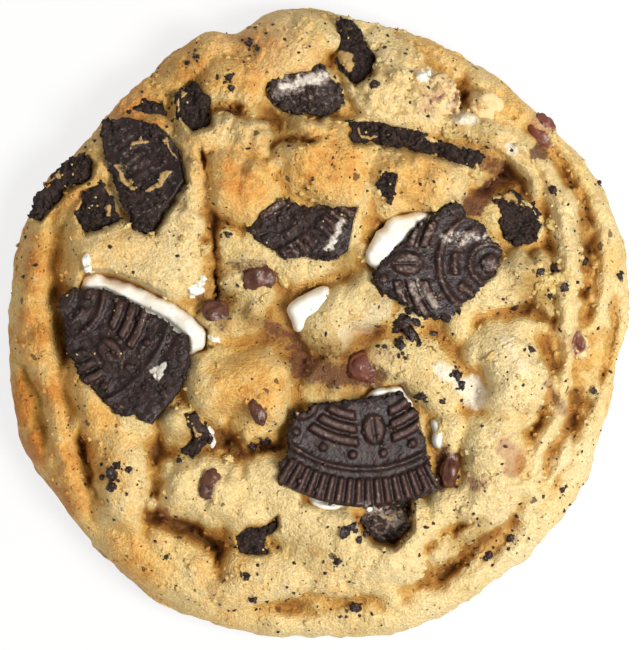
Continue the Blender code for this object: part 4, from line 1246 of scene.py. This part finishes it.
def crumb_tree(name, scattered):
    """A tree that grows crumbs: scattered over the faces of a mesh, or one on each of its points."""
    tree = bpy.data.node_groups.new(name, "GeometryNodeTree")
    tree.interface.new_socket("Ground", in_out="INPUT", socket_type="NodeSocketGeometry")
    inputs = [("Radius", "NodeSocketFloat"), ("Thickness", "NodeSocketFloat"), ("Seed", "NodeSocketInt"),
              ("Fineness", "NodeSocketInt")]
    for socket, kind in inputs + [("Density", "NodeSocketFloat")] * scattered:
        tree.interface.new_socket(socket, in_out="INPUT", socket_type=kind)
    tree.interface.new_socket("Look", in_out="INPUT", socket_type="NodeSocketMaterial")
    tree.interface.new_socket("Crumbs", in_out="OUTPUT", socket_type="NodeSocketGeometry")
    start = add(tree, "NodeGroupInput")
    points = start.outputs["Ground"]
    radius = start.outputs["Radius"]
    if scattered:
        open_here = add(tree, "GeometryNodeInputNamedAttribute", data_type="FLOAT")
        open_here.inputs["Name"].default_value = "sown"
        density = sums(tree, "MULTIPLY", start.outputs["Density"], open_here.outputs["Attribute"])
        spread = add(tree, "GeometryNodeDistributePointsOnFaces",
                     {"Mesh": points, "Density": density, "Seed": start.outputs["Seed"]})
        points = spread.outputs["Points"]
    else:
        own = add(tree, "GeometryNodeInputNamedAttribute", data_type="FLOAT")
        own.inputs["Name"].default_value = "size"
        radius = sums(tree, "MULTIPLY", radius, own.outputs["Attribute"])
    crumbs = add(tree, "GeometryNodeGroup", {}, node_tree=crumbs_on_points)
    for socket, value in (("Points", points), ("Radius", radius),
                          ("Thickness", start.outputs["Thickness"]),
                          ("Seed", start.outputs["Seed"]), ("Fineness", start.outputs["Fineness"]),
                          ("Look", start.outputs["Look"])):
        tree.links.new(value, crumbs.inputs[socket])
    add(tree, "NodeGroupOutput", {"Crumbs": crumbs.outputs[0]})
    return tree


def grown_crumbs(name, ground, tree, material, Fineness=2, **values):
    """The crumbs that a tree grows on a mesh, as a mesh object of their own."""
    values["Fineness"] = Fineness
    grower = bpy.data.objects.new(name + "_ground", ground)
    bpy.context.scene.collection.objects.link(grower)
    modifier = grower.modifiers.new("crumbs", "NODES")
    modifier.node_group = tree
    keys = {item.name: item.identifier for item in tree.interface.items_tree if item.in_out == "INPUT"}
    for socket, value in values.items():
        modifier[keys[socket]] = value
    modifier[keys["Look"]] = material
    grower.update_tag()
    graph = bpy.context.evaluated_depsgraph_get()
    mesh = bpy.data.meshes.new_from_object(grower.evaluated_get(graph), depsgraph=graph)
    bpy.data.objects.remove(grower)
    made = bpy.data.objects.new(name, mesh)
    bpy.context.scene.collection.objects.link(made)
    return made


def ground_height(x, y):
    """Height of the finished crust at one place."""
    return top_z[np.hypot(top_x - x, top_y - y).argmin()]


crumbs_on_points = crumb_group()
scattered_crumbs = crumb_tree("scattered_crumbs", True)
placed_crumbs = crumb_tree("placed_crumbs", False)

FARTHEST_RIM = 46.0  # about how far the outline reaches from the middle

# Where crumbs may lie: the top of the crust, clear of the pieces and a little clear of the outline.
clear = np.minimum.reduce([outside_of(top_x, top_y, corners)
                           for corners, _ in PRESSED.values()])
off_rim = 0.99 - np.hypot(top_x, top_y) / FARTHEST_RIM
sown = eased(clear / 0.5) * eased(off_rim / 0.03)
sown = sown * (0.35 + 0.65 * eased(0.5 + noise(top_x, top_y, 7.0, 91)))
keep(crust, "sown", wide_to_all(sown, 0 * side_down))
crumb_wafer = cocoa_wafer.copy()
crumb_wafer.name = "cocoa_crumb"
dark_crumbs = grown_crumbs("dark_crumbs", crust.data, scattered_crumbs, crumb_wafer, Radius=0.00034,
                           Thickness=0.8, Seed=3, Density=42000.0)
fine_crumbs = grown_crumbs("fine_dark_crumbs", crust.data, scattered_crumbs, crumb_wafer, Radius=0.00017,
                           Thickness=0.9, Seed=7, Density=90000.0)
pale_crumbs = grown_crumbs("pale_crumbs", crust.data, scattered_crumbs, baked_dough, Radius=0.0005,
                           Thickness=0.8, Seed=11, Density=120000.0)


def joined_ground(name, ending, beginning):
    """One mesh of all the finished pieces whose names begin and end in this way."""
    joined = bmesh.new()
    for piece in bpy.context.scene.objects:
        if piece.name.startswith(beginning) and piece.name.endswith(ending):
            joined.from_mesh(piece.data)
    mesh = bpy.data.meshes.new(name)
    joined.to_mesh(mesh)
    joined.free()
    return mesh


# Loose grains stand out of the wafers wherever they snapped, and grains of dough cling there.
snapped = joined_ground("snapped_wafer", "_piece", "wafer_")
loose_grains = grown_crumbs("wafer_grains", snapped, scattered_crumbs, crumb_wafer,
                            Radius=0.00042, Thickness=0.9, Seed=21, Density=900000.0)
clinging_grains = grown_crumbs("dough_grains_on_wafer", snapped, scattered_crumbs, baked_dough,
                               Radius=0.00022, Thickness=0.9, Seed=23, Density=60000.0)
# Grains of dough on the chips that are filmed with it.
filmed_grains = grown_crumbs("dough_grains_on_chips",
                             joined_ground("filmed_chips", "_lump", "chip_"),
                             scattered_crumbs, baked_dough,
                             Radius=0.00036, Thickness=0.7, Seed=25, Density=500000.0)

# The larger bits of wafer: place, radius in millimetres.
BITS = (
    (-13.3, 12.7, 0.7), (-10, 40.5, 0.9), (-9.2, 39.6, 0.6), (-13, 35.5, 0.8), (-12.8, 33.9, 0.55),
    (-18, 38.5, 0.7), (-19.2, 37.6, 0.5), (28, 2.5, 0.7), (33.5, 19.3, 0.8), (38, 9, 0.8),
    (43.2, 6.8, 0.8), (-30, -21.5, 1.1), (-29.2, -20.4, 0.6), (-27.5, -21, 0.7), (-30, -23.5, 0.8),
    (-20.3, -19.7, 0.6), (-10.5, -36.5, 0.8), (-9.7, -39.7, 0.7), (-10, -17.5, 0.8),
    (-8, -16.8, 0.9), (19.6, -7.4, 1.0), (20.2, -9.0, 0.8), (14.5, -10.5, 0.9), (20.3, -11, 0.5),
    (17.5, -11.2, 0.5), (24.3, -33.5, 1.0), (5, -41, 0.9), (2.5, -34.2, 0.7), (27.5, -31, 0.8),
    (39.5, -9.8, 0.6), (35, -24, 0.6), (3.5, -30, 1.0), (5.5, -31, 1.1), (4.6, -29.2, 0.8),
    (6.8, -29.6, 0.7), (12.9, -1.2, 1.7), (12.0, 0.3, 1.7), (13.6, 0.4, 1.2), (11.5, -3.1, 1.1),
    (11.0, -0.6, 1.0), (7.8, 34.3, 0.9), (40.4, 20.4, 0.5), (-34.6, -12.2, 0.5),
    (-22.2, -33.6, 0.5), (31.6, 7.4, 0.9), (33.8, 8.1, 0.8), (35.2, 5.2, 0.9), (33.0, 4.0, 0.8),
    (38.3, 16.6, 0.5), (30.2, -3.6, 0.7),
)


def points_mesh(name, bits, sunk, grains=0):
    """Points on the crust, each with its own size: one for each bit, and smaller grains about it."""
    mesh = bpy.data.meshes.new(name)
    draw = np.random.default_rng(31)
    spread = []
    for x, y, r in bits:
        for _ in range(grains):
            spread.append((x + 0.8 * r * draw.normal(), y + 0.8 * r * draw.normal(),
                           r * draw.uniform(0.25, 0.5)))
    bits = [*bits, *spread]
    spots = [(x * MM, y * MM, (ground_height(x, y) + sunk * r) * MM) for x, y, r in bits]
    mesh.from_pydata(spots, [], [])
    mesh.attributes.new("size", "FLOAT", "POINT").data.foreach_set("value", [r for _, _, r in bits])
    return mesh


wafer_bits = grown_crumbs("wafer_bits", points_mesh("wafer_bits_places", BITS, 0.1, 5),
                          placed_crumbs, crumb_wafer,
                          Radius=0.85 * MM, Thickness=0.8, Seed=5, Fineness=3)

# Crumbs of dough that clump on the folds: place, radius in millimetres.
DOUGH_BITS = (
    (32.6, 6.2, 1.5), (34.2, 6.6, 1.3), (33.4, 5.0, 1.2), (31.6, 5.4, 0.9), (35.4, 7.4, 0.8),
    (25.0, 11.8, 0.9), (33.4, 14.2, 0.9), (-16.6, 10.6, 1.0), (-19.8, 12.2, 0.8),
    (-24.4, 12.6, 0.9), (2.6, 12.4, 0.9), (6.4, 9.4, 0.8), (-5.4, 6.4, 0.9), (-8.2, 3.4, 0.8),
    (24.6, -4.6, 0.9), (28.4, -7.6, 0.8), (-1.4, -13.2, 0.8), (15.8, -3.6, 0.8), (18.4, 27.6, 0.9),
    (22.6, 21.6, 0.9), (29.4, 16.6, 0.9), (-27.6, 13.8, 0.8), (-31.4, -1.2, 0.9),
    (-24.6, -10.6, 0.8), (-13.4, -19.6, 0.9), (0.6, -24.4, 0.8), (17.6, -14.6, 0.9),
)
dough_bits = grown_crumbs("dough_bits", points_mesh("dough_bits_places", DOUGH_BITS, 0.0, 4),
                          placed_crumbs, baked_dough,
                          Radius=MM, Thickness=0.8, Seed=15, Fineness=3)

# Soft crumbs of creme: place, radius in millimetres.
CREME_BITS = (
    (-33.6, 8.9, 0.9), (-33.4, 7.9, 1.0), (-33.2, 7.0, 0.9), (-18.5, 4.1, 0.9), (-18.0, 4.9, 1.0),
    (-17.4, 5.8, 0.95), (-16.9, 6.5, 0.7), (-16.0, -15.6, 0.8), (-15.8, -16.2, 0.8),
    (-15.6, -16.9, 0.8), (-23.6, -6.6, 1.1), (-22.8, -6.0, 0.8), (8.6, -28.2, 0.8),
    (10.4, -27.4, 0.6), (7.0, -26.6, 0.6), (11.2, -29.2, 0.5), (14.6, 35.4, 0.9), (15.6, 35.9, 0.6),
    (-15.2, -2.2, 0.8),
)
creme_bits = grown_crumbs("creme_bits", points_mesh("creme_bits_places", CREME_BITS, 0.25),
                          placed_crumbs, vanilla_creme,
                          Radius=MM, Thickness=0.8, Seed=9, Fineness=3)
for piece, place in ((filmed_grains, "dough"), (dough_bits, "dough"), (loose_grains, "wafer"),
                     (clinging_grains, "dough"), (dark_crumbs, "wafer"), (fine_crumbs, "wafer"),
                     (pale_crumbs, "dough"), (wafer_bits, "wafer"), (creme_bits, "creme")):
    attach(piece, "root")

# ---------------------------------------------------------------------------
# The stage: a plain white floor, one wide soft lamp from the lower right, a
# dim fill, and a camera high above, looking straight down.
# ---------------------------------------------------------------------------


def white_floor():
    """A wide white floor that shows as almost plain white, and keeps the cookie's shadow."""
    mesh = bpy.data.meshes.new("floor")
    half = 1.5
    corners = [(-half, -half, 0), (half, -half, 0), (half, half, 0), (-half, half, 0)]
    mesh.from_pydata(corners, [], [(0, 1, 2, 3)])
    floor = bpy.data.objects.new("floor", mesh)
    bpy.context.scene.collection.objects.link(floor)
    made, tree, shader = new_material("white_floor")
    place = add(tree, "ShaderNodeTexCoord").outputs["Object"]
    faint = cloudy(tree, place, 40.0, 2.0)
    tree.links.new(mixed(tree, faint.outputs["Fac"], (0.86, 0.86, 0.86, 1), (0.88, 0.88, 0.88, 1)),
                   shader.inputs["Base Color"])
    shader.inputs["Roughness"].default_value = 0.9
    shader.inputs["Specular IOR Level"].default_value = 0.1
    path = add(tree, "ShaderNodeLightPath")
    seen = sums(tree, "MAXIMUM", path.outputs["Is Camera Ray"], path.outputs["Is Glossy Ray"])
    glow = add(tree, "ShaderNodeEmission", {"Color": (1, 1, 1, 1), "Strength": 1.0})
    share = sums(tree, "MULTIPLY", seen, 0.8)
    both = add(tree, "ShaderNodeMixShader", {0: share})
    tree.links.new(shader.outputs[0], both.inputs[1])
    tree.links.new(glow.outputs[0], both.inputs[2])
    out = next(n for n in tree.nodes if n.type == "OUTPUT_MATERIAL")
    tree.links.new(both.outputs[0], out.inputs["Surface"])
    mesh.materials.append(made)


def softbox(name, place, size, watts, colour):
    """A square lamp that faces the middle of the cookie."""
    lamp = bpy.data.lights.new(name, "AREA")
    lamp.shape = "SQUARE"
    lamp.size = size
    lamp.energy = watts
    lamp.color = colour
    made = bpy.data.objects.new(name, lamp)
    made.location = place
    made.rotation_euler = (-made.location).to_track_quat("-Z", "Y").to_euler()
    bpy.context.scene.collection.objects.link(made)


def studio_world():
    """A pale world: a dim fill on the cookie, plain white to the camera."""
    world = bpy.data.worlds.new("studio")
    world.use_nodes = True
    tree = world.node_tree
    tree.nodes.clear()
    path = add(tree, "ShaderNodeLightPath")
    seen = sums(tree, "MAXIMUM", path.outputs["Is Camera Ray"], path.outputs["Is Transmission Ray"])
    strength = ramped(tree, seen, 0.0, 1.0, 0.38, 1.0)
    sky = add(tree, "ShaderNodeBackground", {"Color": (1.0, 1.0, 1.0, 1), "Strength": strength})
    out = add(tree, "ShaderNodeOutputWorld")
    tree.links.new(sky.outputs[0], out.inputs["Surface"])
    bpy.context.scene.world = world


def overhead_camera():
    """A camera far above, so that the view is almost square to the table."""
    camera = bpy.data.objects.new("camera", bpy.data.cameras.new("camera"))
    distance = 1.2
    seen_height = 0.0938
    camera.data.sensor_width = 36
    camera.data.lens = 36 * (distance - 0.010) / seen_height
    camera.data.clip_end = 10
    camera.location = (0.00015, -0.0002, distance)
    bpy.context.scene.collection.objects.link(camera)
    bpy.context.scene.camera = camera


white_floor()
softbox("key", (0.27, -0.09, 0.46), 0.22, 3.1, (1.0, 0.985, 0.96))
studio_world()
overhead_camera()
bpy.context.scene.view_settings.view_transform = "Standard"
